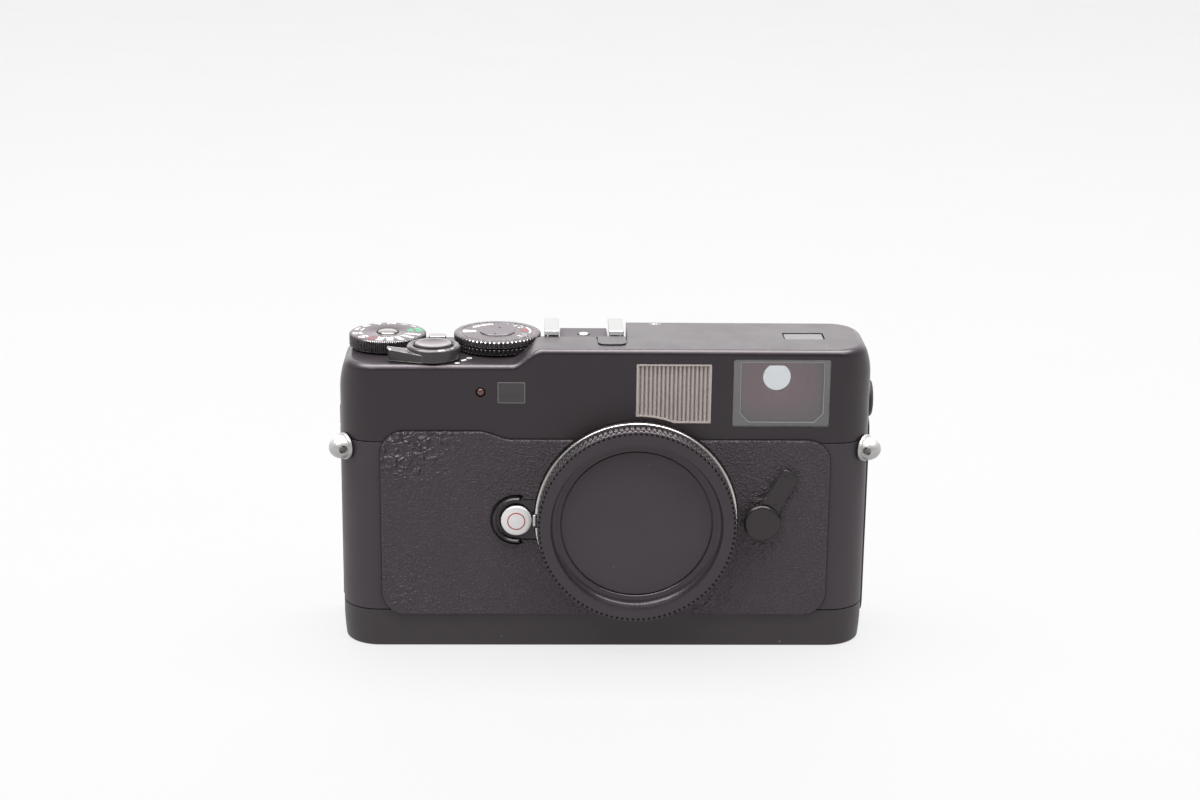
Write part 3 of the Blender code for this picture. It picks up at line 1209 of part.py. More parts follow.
def door_skin():
    seat = BACK + FIT
    face = seat + LEATHER
    pane_x, pane_z = film_window_span(0.0)
    pane = prism(rounded(*pane_x, *pane_z, 2 * EDGE, steps=3), DOOR_INNER + EDGE, face, "Y")
    make_piece("film_window", pane, CLEAR_GLASS, DOOR_ORIGIN)
    outline = rounded(*around(0.0, BODY_WIDTH - 2 * BACK_MARGIN), CASING_LOW + BACK_LAP,
                      CASING_HIGH - BACK_LAP, BACK_PANEL_CORNER)
    hole_x, hole_z = film_window_span(FIT)
    sheet = cut(prism(outline, seat, face, "Y"), box(hole_x, (seat - PAST, face + PAST), hole_z))
    make_piece("leather_back", sheet, LEATHERETTE, DOOR_ORIGIN)


def hinge():
    lower, upper = ear_spans()
    corner = (-HALF + BACK_CORNER, BACK - BACK_CORNER)
    inner = BACK_CORNER + FIT
    outer = inner + 2 * EDGE
    spread = math.degrees(HINGE_RADIUS / outer)
    saddle = (arc(*corner, outer, HINGE_ANGLE - spread, HINGE_ANGLE + spread, 3)
              + arc(*corner, inner, HINGE_ANGLE + spread, HINGE_ANGLE - spread, 3))
    for name, span in (("hinge_ear_lower", lower), ("hinge_ear_upper", upper)):
        bore = rod(HINGE_X, HINGE_Y, HINGE_PIN_RADIUS + FIT, span[0] - PAST, span[1] + PAST)
        barrel = join(rod(HINGE_X, HINGE_Y, HINGE_RADIUS, *span), prism(saddle, *span))
        make_piece(name, cut(barrel, bore), BLACK_METAL)
    pin = rod(HINGE_X, HINGE_Y, HINGE_PIN_RADIUS, lower[0] + EDGE, upper[1] - EDGE)
    make_piece("hinge_pin", pin, NICKEL, DOOR_ORIGIN)


def pressure_plate():
    low = FILM_PLANE + FIT
    start = low + PRESSURE_THICKNESS + FIT
    outline = rounded(*around(LENS_X, PRESSURE_WIDTH), *around(LENS_Z, PRESSURE_HEIGHT), 10 * EDGE, steps=3)
    plate = prism(outline, low, low + PRESSURE_THICKNESS, "Y")
    make_piece("pressure_plate", plate, BLACK_METAL, DOOR_ORIGIN)
    steps = 8
    rise = SPRING_ROOM - SPRING_THICKNESS
    lower = []
    for i in range(steps + 1):
        share = i / steps
        lower.append((LENS_X + (share - 0.5) * SPRING_LENGTH, start + rise * 4 * share * (1 - share)))
    upper = [(x, y + SPRING_THICKNESS) for x, y in reversed(lower)]
    leaf = prism(lower + upper, *around(LENS_Z, SPRING_WIDTH))
    make_piece("pressure_spring", leaf, NICKEL, DOOR_ORIGIN)


def shutter():
    """Vertical shutter: a frame with an aperture and blades in their own layers."""
    behind_frame = SHUTTER_BACK + PAST
    channel_front = SHUTTER_FRONT + SHUTTER_PLATE
    plate = box(around(LENS_X, 2 * (BLOCK_HALF_WIDTH - FIT)), (SHUTTER_FRONT, SHUTTER_BACK),
                (BLOCK_LOW, FRAME_HIGH))
    channel = box(around(LENS_X, BLADE_WIDTH + 2 * FIT), (channel_front, behind_frame),
                  (BLOCK_LOW + SHUTTER_SILL, FRAME_HIGH + PAST))
    aperture = box(around(LENS_X, GATE_WIDTH + 2 * APERTURE_MARGIN), (SHUTTER_FRONT - PAST, behind_frame),
                   around(LENS_Z, GATE_HEIGHT + 2 * APERTURE_MARGIN))
    make_piece("shutter_frame", cut(plate, channel, aperture), BLACK_METAL)
    top = LENS_Z + BLADE_PITCH * (BLADE_COUNT - 1) / 2
    for i in range(BLADE_COUNT):
        middle = top - i * BLADE_PITCH
        layer = channel_front + FIT + i * (BLADE_THICKNESS + FIT)
        depth = (layer, layer + BLADE_THICKNESS)
        blade = box(around(LENS_X, BLADE_WIDTH), depth, around(middle, BLADE_HEIGHT))
        make_piece(f"shutter_blade_{i + 1}", blade, BLACK_METAL, (LENS_X, layer, middle))


def film_transport():
    low = FLOOR_LEVEL + FIT
    high = ROOF_LEVEL - FIT
    foot = FLOOR_LEVEL - AXLE_LENGTH
    head = ROOF_LEVEL + AXLE_LENGTH
    rim = SPOOL_RADIUS + SPOOL_LIP
    flange_low, flange_high = low + SPOOL_FLANGE, high - SPOOL_FLANGE
    profile = [(0.0, foot), (STEM_RADIUS, foot), (STEM_RADIUS, low), (rim, low), (rim, flange_low),
               (SPOOL_RADIUS, flange_low), (SPOOL_RADIUS, flange_high), (rim, flange_high), (rim, high),
               (STEM_RADIUS, high), (STEM_RADIUS, head), (0.0, head)]
    slot = box((TAKEUP_X + SPOOL_RADIUS - PAST, TAKEUP_X + SPOOL_RADIUS + PAST), around(TAKEUP_Y, 3 * EDGE),
               (flange_low + SPOOL_LIP, flange_high - SPOOL_LIP))
    spool = cut(turned(profile, (TAKEUP_X, TAKEUP_Y, 0.0), steps=18), slot)
    make_piece("take_up_spool", spool, BLACK_PLASTIC, (TAKEUP_X, TAKEUP_Y, low))
    end = FLOOR_LEVEL - FORK_SHAFT
    top = low + FORK_HEIGHT
    fork = turned([(0.0, end), (STEM_RADIUS, end), (STEM_RADIUS, low), (FORK_RADIUS, low),
                   (FORK_RADIUS, top), (0.0, top)], (CARTRIDGE_X, CARTRIDGE_Y, 0.0), steps=20)
    gap = box(around(CARTRIDGE_X, FORK_SLOT), around(CARTRIDGE_Y, 4 * FORK_RADIUS),
              (low + FORK_HEIGHT / 3, top + PAST))
    make_piece("rewind_fork", cut(fork, gap), NICKEL, (CARTRIDGE_X, CARTRIDGE_Y, low))


def power():
    for i in range(CELL_COUNT):
        low = CELL_LOW + i * (CELL_LENGTH + FIT)
        high = low + CELL_LENGTH
        shoulder = high - CELL_TIP
        profile = [(0.0, low), (CELL_RADIUS - EDGE, low), (CELL_RADIUS, low + EDGE),
                   (CELL_RADIUS, shoulder - EDGE), (CELL_RADIUS - EDGE, shoulder),
                   (CELL_TIP_RADIUS, shoulder), (CELL_TIP_RADIUS, high), (0.0, high)]
        cell = turned(profile, (BATTERY_X, BATTERY_Y, 0.0), steps=16)
        make_piece(f"battery_cell_{i + 1}", cell, CELL_GREY)
    low = max(CELL_LOW + CELL_COUNT * (CELL_LENGTH + FIT), BRIDGE_LOW)
    inset = WALL + BOARD_MARGIN
    left = -HALF + inset + END_ROUND_DECK
    board = rounded(left, BRIDGE_LEFT - FIT, FRONT + inset, BACK - inset, BOARD_MARGIN, steps=3)
    make_piece("main_board", prism(board, low, low + BOARD_THICKNESS), BOARD_GREEN)


def base_fittings():
    rim = CELL_RADIUS + FIT
    boss = CELL_RADIUS - FIT
    top = BASE_SINK + BATTERY_CAP
    edge = BASE_SINK + EDGE
    cap = turned([(0.0, BASE_SINK), (rim - EDGE, BASE_SINK), (rim, edge), (rim, FLOOR), (boss, FLOOR),
                  (boss, top), (0.0, top)], (BATTERY_X, BATTERY_Y, 0.0))
    slot = box(around(BATTERY_X, COIN_SLOT_LENGTH), around(BATTERY_Y, COIN_SLOT_WIDTH),
               (-PAST, BASE_SINK + BATTERY_CAP / 2))
    make_piece("battery_cap", cut(cap, slot), BLACK_METAL, (BATTERY_X, BATTERY_Y, BASE_SINK))
    floor = TRIPOD_HEIGHT - TRIPOD_FLOOR
    bush = turned([(0.0, TRIPOD_HEIGHT), (TRIPOD_RADIUS, TRIPOD_HEIGHT), (TRIPOD_RADIUS, edge),
                   (TRIPOD_RADIUS - EDGE, BASE_SINK), (TRIPOD_BORE + EDGE, BASE_SINK), (TRIPOD_BORE, edge),
                   (TRIPOD_BORE, floor), (0.0, floor)], (LENS_X, 0.0, 0.0), steps=18)
    make_piece("tripod_socket", bush, NICKEL)
    low = 2 * BASE_SINK
    high = low + REWIND_LENGTH
    stud = turned([(0.0, low), (REWIND_RADIUS - EDGE, low), (REWIND_RADIUS, low + EDGE),
                   (REWIND_RADIUS, high), (0.0, high)], (REWIND_X, REWIND_Y, 0.0), steps=16)
    make_piece("rewind_button", stud, BLACK_METAL, (REWIND_X, REWIND_Y, low))


def build():
    clear_scene()
    top_cover()
    bottom_cover()
    front_casing()
    main_frame()
    mount_block()
    mount_ring()
    body_cap()
    leather_front()
    release_guard()
    lens_release()
    frame_lever()
    windows()
    eyepiece()
    finder_block()
    rangefinder_arm()
    shutter_dial()
    compensation_dial()
    shutter_release()
    accessory_shoe()
    strap_lugs()
    sync_socket()
    back_door()
    door_skin()
    hinge()
    pressure_plate()
    shutter()
    film_transport()
    power()
    base_fittings()


build()
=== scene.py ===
# Looks of a black rangefinder camera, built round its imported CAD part
import json
import math

import bmesh
import bpy
from mathutils import Matrix, Vector


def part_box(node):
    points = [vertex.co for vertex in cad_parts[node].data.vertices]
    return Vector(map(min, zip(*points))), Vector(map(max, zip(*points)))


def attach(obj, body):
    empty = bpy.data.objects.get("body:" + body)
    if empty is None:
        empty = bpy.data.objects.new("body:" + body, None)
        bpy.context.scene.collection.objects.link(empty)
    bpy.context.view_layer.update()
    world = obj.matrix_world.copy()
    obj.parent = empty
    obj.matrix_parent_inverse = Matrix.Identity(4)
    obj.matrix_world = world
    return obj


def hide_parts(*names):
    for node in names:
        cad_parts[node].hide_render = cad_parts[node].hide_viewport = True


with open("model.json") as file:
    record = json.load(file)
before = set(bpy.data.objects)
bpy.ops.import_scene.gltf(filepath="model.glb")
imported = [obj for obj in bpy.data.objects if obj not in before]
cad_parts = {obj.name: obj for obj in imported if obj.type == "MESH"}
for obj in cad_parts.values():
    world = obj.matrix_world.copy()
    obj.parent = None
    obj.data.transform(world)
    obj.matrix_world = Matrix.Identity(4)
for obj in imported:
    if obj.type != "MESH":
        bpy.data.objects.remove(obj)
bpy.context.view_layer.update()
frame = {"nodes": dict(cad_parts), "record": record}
mm = 0.001
scene = bpy.context.scene
bodyOf = {node: body for body, nodes in frame["record"]["behaviour"]["bodies"].items() for node in nodes}
slotOf = {part["node"]: part["material_slot"] for part in frame["record"]["subparts"]}
replaced = set()
print("frame loaded:", len(frame["nodes"]), "nodes")


# Sizes read from the frame, in millimetres
def span(node):
    low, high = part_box(node)
    return low / mm, high / mm


def middleOf(node):
    low, high = span(node)
    return (low + high) / 2


coverLow, coverHigh = span("top_cover")
baseHigh = span("bottom_cover")[1]
casingLow, casingHigh = span("front_casing")
ringLow, ringHigh = span("mount_ring")
lensX = middleOf("tripod_socket").x
lensZ = (ringLow.z + ringHigh.z) / 2
lensCentre = (lensX, lensZ)
mountRadius = ringHigh.x - lensX
dial = middleOf("shutter_dial")
compensation = middleOf("compensation_dial")
dialRadius = span("shutter_dial")[1].x - dial.x
compensationRadius = span("compensation_dial")[1].x - compensation.x
button = middleOf("shutter_button")
release = middleOf("lens_release_button")
lever = middleOf("frame_lever_cap")
releaseCentre, leverCentre = (release.x, release.z), (lever.x, lever.z)
half, front, back = coverHigh.x, coverLow.y, coverHigh.y
seam, plateau = coverLow.z, coverHigh.z
deck = span("index_block")[0].z - 0.3
gap = 0.3


# Outlines and solids, in millimetres
def placePoint(axis, u, v, w):
    return {"X": (w, u, v), "Y": (u, w, v), "Z": (u, v, w)}[axis]


def around(middle, width):
    return (middle - width / 2, middle + width / 2)


def roundPoint(centre, radius, turn):
    return centre[0] + radius * math.cos(turn), centre[1] + radius * math.sin(turn)


def arcPoints(u, v, radius, start, end, steps):
    turns = [math.radians(start + (end - start) * i / steps) for i in range(steps + 1)]
    return [roundPoint((u, v), radius, turn) for turn in turns]


def bandOutline(centre, inner, outer, start, end, steps):
    # part of a ring, from one angle to the other
    return arcPoints(*centre, outer, start, end, steps) + arcPoints(*centre, inner, end, start, steps)


def circlePoints(u, v, radius, steps=96):
    return arcPoints(u, v, radius, 0, 360, steps)[:-1]


def easeShare(share):
    return share * share * (3 - 2 * share)


def roundedRect(lowU, highU, lowV, highV, lowRadius, highRadius=None, steps=10):
    top = lowRadius if highRadius is None else highRadius
    return (arcPoints(lowU + lowRadius, lowV + lowRadius, lowRadius, 180, 270, steps)
            + arcPoints(highU - lowRadius, lowV + lowRadius, lowRadius, 270, 360, steps)
            + arcPoints(highU - top, highV - top, top, 0, 90, steps)
            + arcPoints(lowU + top, highV - top, top, 90, 180, steps))


def softPath(points, radius, closed=True, steps=4):
    # each corner becomes a short curve
    count = len(points)
    path = []
    for i, point in enumerate(points):
        if not closed and i in (0, count - 1):
            path.append(tuple(point))
            continue
        here = Vector(point)
        before, after = Vector(points[i - 1]) - here, Vector(points[(i + 1) % count]) - here
        reach = min(radius, before.length * 0.45, after.length * 0.45)
        start, end = here + before.normalized() * reach, here + after.normalized() * reach
        for k in range(steps + 1):
            share = k / steps
            path.append(tuple(start * (1 - share) ** 2 + here * 2 * share * (1 - share) + end * share ** 2))
    return path


def insetPath(outline, amount):
    # moves a closed outline inwards along its corner normals
    area = sum(a[0] * b[1] - b[0] * a[1] for a, b in zip(outline, outline[1:] + outline[:1]))
    sign = 1 if area > 0 else -1
    count = len(outline)
    path = []
    for i, point in enumerate(outline):
        here = Vector(point)
        before, after = here - Vector(outline[i - 1]), Vector(outline[(i + 1) % count]) - here
        first = Vector((-before.y, before.x)).normalized()
        second = Vector((-after.y, after.x)).normalized()
        middle = first + second
        if middle.length < 0.001:
            path.append(tuple(point))
            continue
        middle.normalize()
        path.append(tuple(here + middle * sign * amount / max(0.4, middle.dot(first))))
    return path


def loftRings(rings):
    bm = bmesh.new()
    rows = [[bm.verts.new(point) for point in ring] for ring in rings]
    count = len(rows[0])
    for low, high in zip(rows, rows[1:]):
        for i in range(count):
            j = (i + 1) % count
            bm.faces.new((low[i], low[j], high[j], high[i]))
    bm.faces.new(rows[0])
    bm.faces.new(rows[-1])
    bmesh.ops.recalc_face_normals(bm, faces=bm.faces)
    return bm


def prismShape(outline, low, high, axis="Z"):
    return loftRings([[placePoint(axis, u, v, w) for u, v in outline] for w in (low, high)])


def softPrism(outline, low, high, axis="Z", lowEdge=0.15, highEdge=0.15, steps=3):
    # a prism whose two rims are rounded
    rings = []
    for k in range(steps + 1):
        turn = math.pi / 2 * k / steps
        rings.append((lowEdge * (1 - math.sin(turn)), low + lowEdge * (1 - math.cos(turn))))
    for k in range(steps + 1):
        turn = math.pi / 2 * k / steps
        rings.append((highEdge * (1 - math.cos(turn)), high - highEdge * (1 - math.sin(turn))))
    return loftRings([[placePoint(axis, u, v, w) for u, v in insetPath(outline, inset)]
                      for inset, w in rings])


def boxShape(x, y, z):
    return prismShape([(x[0], y[0]), (x[1], y[0]), (x[1], y[1]), (x[0], y[1])], z[0], z[1])


def rodShape(u, v, radius, low, high, axis="Z", steps=64):
    return prismShape(circlePoints(u, v, radius, steps), low, high, axis)


def turnedShape(profile, centre, axis="Z", steps=96, waver=None):
    # spins (radius, height) points; waver may change the radius by angle and height
    bm = bmesh.new()
    rows = []
    for radius, height in profile:
        row = []
        for i in range(steps if radius > 0 else 1):
            turn = math.tau * i / steps
            reach = waver(turn, radius, height) if waver else radius
            row.append(bm.verts.new(placePoint(axis, *roundPoint(centre, reach, turn), height)))
        rows.append(row)
    pairs = list(zip(rows, rows[1:]))
    if len(rows[0]) > 1:
        pairs.append((rows[-1], rows[0]))
    for low, high in pairs:
        for i in range(steps):
            j = (i + 1) % steps
            corners = (low[i % len(low)], low[j % len(low)], high[j % len(high)], high[i % len(high)])
            bm.faces.new(list(dict.fromkeys(corners)))
    bmesh.ops.recalc_face_normals(bm, faces=bm.faces)
    return bm


def boxProfile(inner, outer, low, high):
    return [(inner, low), (outer, low), (outer, high), (inner, high)]


def domeProfile(radius, height, steps):
    # (radius, drop) points of a dome, from its top to its rim
    turns = [math.pi / 2 * k / steps for k in range(steps + 1)]
    return [(radius * math.sin(turn), height * (1 - math.cos(turn))) for turn in turns]


def rimTips(centre, profile, count, share, axis="Z", start=0.0):
    # small wedges with one (radius, height) profile, spaced evenly round a rim
    reach = math.pi / count * share
    tips = []
    for i in range(count):
        middle = math.tau * (i + start) / count
        tips.append(loftRings([[placePoint(axis, *roundPoint(centre, radius, turn), height)
                                for radius, height in profile] for turn in (middle - reach, middle + reach)]))
    return mergeShapes(*tips)


def edgeBar(points, width):
    # a thin bar along the points, standing on its edge
    rings = []
    for i, point in enumerate(points):
        ahead = points[min(i + 1, len(points) - 1)] - points[max(i - 1, 0)]
        side = ahead.cross(Vector((0, 0, 1))).normalized() * width / 2
        rise = Vector((0, 0, width / 2))
        rings.append([tuple(corner) for corner in (point - side, point - rise, point + side, point + rise)])
    return loftRings(rings)


def scratchObject(bm):
    bmesh.ops.recalc_face_normals(bm, faces=bm.faces)
    mesh = bpy.data.meshes.new("scratch")
    bm.to_mesh(mesh)
    bm.free()
    helper = bpy.data.objects.new("scratch", mesh)
    scene.collection.objects.link(helper)
    return helper


def combineShapes(base, operation, tools):
    host = scratchObject(base)
    helpers = [scratchObject(tool) for tool in tools]
    for helper in helpers:
        step = host.modifiers.new("step", "BOOLEAN")
        step.operation = operation
        step.solver = "EXACT"
        step.object = helper
    result = bmesh.new()
    result.from_object(host, bpy.context.evaluated_depsgraph_get())
    for helper in [host, *helpers]:
        mesh = helper.data
        bpy.data.objects.remove(helper, do_unlink=True)
        bpy.data.meshes.remove(mesh)
    return result


def cutShape(base, *tools):
    return combineShapes(base, "DIFFERENCE", tools)


def joinShape(base, *tools):
    return combineShapes(base, "UNION", tools)


def commonShape(base, *tools):
    return combineShapes(base, "INTERSECT", tools)


def mergeShapes(*shapes):
    # several loose shapes kept in one mesh
    merged = bmesh.new()
    for shape in shapes:
        mesh = bpy.data.meshes.new("scratch")
        shape.to_mesh(mesh)
        shape.free()
        merged.from_mesh(mesh)
        bpy.data.meshes.remove(mesh)
    return merged


def turnShape(bm, matrix):
    bmesh.ops.transform(bm, matrix=matrix, verts=bm.verts)
    return bm


def makePiece(name, bm, body, material, stands=(), sharp=32.0, bevel=0.0):
    bmesh.ops.recalc_face_normals(bm, faces=bm.faces)
    bmesh.ops.scale(bm, vec=(mm, mm, mm), verts=bm.verts)
    mesh = bpy.data.meshes.new(name)
    bm.to_mesh(mesh)
    bm.free()
    mesh.shade_smooth()
    mesh.set_sharp_from_angle(angle=math.radians(sharp))
    mesh.materials.append(material)
    piece = bpy.data.objects.new(name, mesh)
    scene.collection.objects.link(piece)
    if bevel:
        edge = piece.modifiers.new("edge", "BEVEL")
        edge.width = bevel * mm
        edge.segments = 2
        edge.limit_method = "ANGLE"
        edge.angle_limit = math.radians(max(sharp, 35.0))
        edge.harden_normals = True
    flat = piece.modifiers.new("flat", "WEIGHTED_NORMAL")
    flat.keep_sharp = True
    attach(piece, body)
    if stands:
        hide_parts(*stands)
        replaced.update(stands)
    return piece


def nodePiece(node, name, bm, material, sharp=32.0, bevel=0.0):
    # stands for one CAD node, on its body
    return makePiece(name, bm, bodyOf[node], material, (node,), sharp, bevel)


def nodeShape(node):
    # the CAD shape again, joined up
    bm = bmesh.new()
    bm.from_mesh(frame["nodes"][node].data)
    bmesh.ops.scale(bm, vec=(1 / mm, 1 / mm, 1 / mm), verts=bm.verts)
    bmesh.ops.remove_doubles(bm, verts=bm.verts, dist=0.002)
    bmesh.ops.dissolve_limit(bm, angle_limit=0.02, verts=bm.verts, edges=bm.edges)
    return bm


def refineNode(node, name, material, sharp=32.0, bevel=0.12):
    return nodePiece(node, name, nodeShape(node), material, sharp, bevel)


# Shader helpers
def feedSocket(tree, target, value):
    if isinstance(value, bpy.types.NodeSocket):
        tree.links.new(value, target)
    else:
        target.default_value = value


def addMath(tree, operation, first, second=0.0, clamp=False):
    node = tree.nodes.new("ShaderNodeMath")
    node.operation = operation
    node.use_clamp = clamp
    feedSocket(tree, node.inputs[0], first)
    feedSocket(tree, node.inputs[1], second)
    return node.outputs[0]


def addVector(tree, operation, first, second=(0.0, 0.0, 0.0), output="Vector"):
    node = tree.nodes.new("ShaderNodeVectorMath")
    node.operation = operation
    feedSocket(tree, node.inputs[0], first)
    feedSocket(tree, node.inputs[1], second)
    return node.outputs[output]


def addRange(tree, value, low, high, toLow=0.0, toHigh=1.0):
    node = tree.nodes.new("ShaderNodeMapRange")
    for label, amount in zip(("Value", "From Min", "From Max", "To Min", "To Max"),
                             (value, low, high, toLow, toHigh)):
        feedSocket(tree, node.inputs[label], amount)
    return node.outputs["Result"]


def addNoise(tree, vector, scale, detail=2.0, roughness=0.5):
    node = tree.nodes.new("ShaderNodeTexNoise")
    feedSocket(tree, node.inputs["Vector"], vector)
    feedSocket(tree, node.inputs["Scale"], scale)
    node.inputs["Detail"].default_value = detail
    node.inputs["Roughness"].default_value = roughness
    return node


def addCells(tree, vector, scale, feature="F1"):
    node = tree.nodes.new("ShaderNodeTexVoronoi")
    node.feature = feature
    feedSocket(tree, node.inputs["Vector"], vector)
    feedSocket(tree, node.inputs["Scale"], scale)
    return node


def addMix(tree, share, first, second):
    node = tree.nodes.new("ShaderNodeMix")
    node.data_type = "RGBA"
    feedSocket(tree, node.inputs[0], share)
    feedSocket(tree, node.inputs[6], first)
    feedSocket(tree, node.inputs[7], second)
    return node.outputs[2]


def objectPlace(tree):
    return tree.nodes.new("ShaderNodeTexCoord").outputs["Object"]


def newGroup(name, inputs, outputs):
    group = bpy.data.node_groups.new(name, "ShaderNodeTree")
    for label, value in inputs:
        kind = "NodeSocketVector" if isinstance(value, tuple) else "NodeSocketFloat"
        group.interface.new_socket(name=label, in_out="INPUT", socket_type=kind).default_value = value
    for label in outputs:
        group.interface.new_socket(name=label, in_out="OUTPUT", socket_type="NodeSocketFloat")
    start = group.nodes.new("NodeGroupInput")
    end = group.nodes.new("NodeGroupOutput")
    return group, start.outputs, end.inputs


def placeGroup(tree, group, values):
    node = tree.nodes.new("ShaderNodeGroup")
    node.node_tree = group
    for label, value in values.items():
        feedSocket(tree, node.inputs[label], value)
    return node.outputs


# Shared surface effects
def rubbedEdgesGroup():
    # bare, broken wear along the edges of a piece
    group, given, out = newGroup("rubbedEdges", (("Radius", 0.0003), ("Break", 900.0), ("Cover", 0.46)),
                                ("Mask",))
    bend = group.nodes.new("ShaderNodeBevel")
    bend.samples = 6
    group.links.new(given["Radius"], bend.inputs["Radius"])
    flat = group.nodes.new("ShaderNodeNewGeometry").outputs["Normal"]
    turn = addVector(group, "DOT_PRODUCT", bend.outputs["Normal"], flat, "Value")
    edge = addRange(group, addMath(group, "SUBTRACT", 1.0, turn), 0.03, 0.2)
    chips = addNoise(group, objectPlace(group), given["Break"], 4.0, 0.65).outputs[0]
    bare = addRange(group, chips, given["Cover"], addMath(group, "ADD", given["Cover"], 0.14))
    group.links.new(addMath(group, "MULTIPLY", edge, bare), out["Mask"])
    return group


def fineGrainGroup():
    # small even roughness and a slow change of tone
    group, given, out = newGroup("fineGrain", (("Scale", 4000.0),), ("Height", "Tone"))
    place = objectPlace(group)
    group.links.new(addNoise(group, place, given["Scale"], 3.0, 0.6).outputs[0], out["Height"])
    slow = addNoise(group, place, addMath(group, "MULTIPLY", given["Scale"], 0.02), 3.0).outputs[0]
    group.links.new(addRange(group, slow, 0.3, 0.7), out["Tone"])
    return group


def hideGrainGroup():
    # pebbles and creases of pressed leather cloth
    group, given, out = newGroup("hideGrain", (("Scale", 1500.0), ("Drift", 0.0003)), ("Height",))
    place = objectPlace(group)
    drift = addNoise(group, place, addMath(group, "MULTIPLY", given["Scale"], 0.6), 2.0).outputs[1]
    drift = addVector(group, "SUBTRACT", drift, (0.5, 0.5, 0.5))
    scaled = group.nodes.new("ShaderNodeVectorMath")
    scaled.operation = "SCALE"
    group.links.new(drift, scaled.inputs[0])
    group.links.new(given["Drift"], scaled.inputs["Scale"])
    place = addVector(group, "ADD", place, scaled.outputs[0])
    pebble = addCells(group, place, given["Scale"], "SMOOTH_F1").outputs["Distance"]
    crease = addCells(group, place, addMath(group, "MULTIPLY", given["Scale"], 0.55), "DISTANCE_TO_EDGE")
    rise = addRange(group, pebble, 0.0, 0.7, 1.0, 0.0)
    fold = addRange(group, crease.outputs["Distance"], 0.0, 0.12)
    group.links.new(addMath(group, "MULTIPLY", rise, addMath(group, "ADD", fold, 0.35)), out["Height"])
    return group


def dustSpecksGroup():
    # a few light specks
    group, given, out = newGroup("dustSpecks", (("Scale", 500.0), ("Amount", 0.1)), ("Mask",))
    cell = addCells(group, objectPlace(group), given["Scale"])
    chosen = group.nodes.new("ShaderNodeSeparateColor")
    group.links.new(cell.outputs["Color"], chosen.inputs[0])
    lucky = addMath(group, "LESS_THAN", chosen.outputs[0], given["Amount"])
    size = addMath(group, "MULTIPLY", chosen.outputs[1], 0.1)
    near = addMath(group, "LESS_THAN", cell.outputs["Distance"], size)
    group.links.new(addMath(group, "MULTIPLY", lucky, near), out["Mask"])
    return group


def spunLinesGroup():
    # fine turning lines round an axis through Centre; Plane masks out the axis
    group, given, out = newGroup("spunLines", (("Centre", (0.0, 0.0, 0.0)), ("Plane", (1.0, 1.0, 0.0)),
                                              ("Pitch", 0.0002)), ("Height",))
    place = addVector(group, "SUBTRACT", objectPlace(group), given["Centre"])
    reach = addVector(group, "LENGTH", addVector(group, "MULTIPLY", place, given["Plane"]), output="Value")
    lines = group.nodes.new("ShaderNodeTexNoise")
    lines.noise_dimensions = "1D"
    lines.inputs["Detail"].default_value = 3.0
    group.links.new(addMath(group, "DIVIDE", reach, given["Pitch"]), lines.inputs["W"])
    group.links.new(lines.outputs[0], out["Height"])
    return group


def handMarksGroup():
    # slow blotches left by handling
    group, given, out = newGroup("handMarks", (("Scale", 120.0),), ("Mask",))
    blot = addNoise(group, objectPlace(group), given["Scale"], 5.0, 0.6).outputs[0]
    group.links.new(addRange(group, blot, 0.42, 0.68), out["Mask"])
    return group


def hairLinesGroup():
    # short scratches drawn out along one direction
    group, given, out = newGroup("hairLines", (("Stretch", (200.0, 9000.0, 9000.0)),), ("Height",))
    place = addVector(group, "MULTIPLY", objectPlace(group), given["Stretch"])
    group.links.new(addNoise(group, place, 1.0, 3.0, 0.6).outputs[0], out["Height"])
    return group


def distanceFadeGroup():
    # 0 within Near of a point, 1 beyond Far
    group, given, out = newGroup("distanceFade", (("Centre", (0.0, 0.0, 0.0)), ("Near", 0.01), ("Far", 0.02)),
                                ("Share",))
    away = addVector(group, "DISTANCE", objectPlace(group), given["Centre"], "Value")
    group.links.new(addRange(group, away, given["Near"], given["Far"]), out["Share"])
    return group


rubbedEdges = rubbedEdgesGroup()
fineGrain = fineGrainGroup()
hideGrain = hideGrainGroup()
dustSpecks = dustSpecksGroup()
spunLines = spunLinesGroup()
handMarks = handMarksGroup()
hairLines = hairLinesGroup()
distanceFade = distanceFadeGroup()
print("surface effects ready")


def addBump(tree, height, strength, distance, normal=None):
    bump = tree.nodes.new("ShaderNodeBump")
    bump.inputs["Strength"].default_value = strength
    bump.inputs["Distance"].default_value = distance * mm
    tree.links.new(height, bump.inputs["Height"])
    if normal:
        tree.links.new(normal, bump.inputs["Normal"])
    return bump.outputs["Normal"]


def addFade(tree, centre, near, far):
    return placeGroup(tree, distanceFade, {"Centre": tuple(c * mm for c in centre), "Near": near * mm,
                                           "Far": far * mm})["Share"]


common = {"ior": 1.5, "smudgeScale": 120.0, "dustShare": 0.5, "dustColour": (0.3, 0.29, 0.28, 1.0),
          "lineDepth": 0.02}


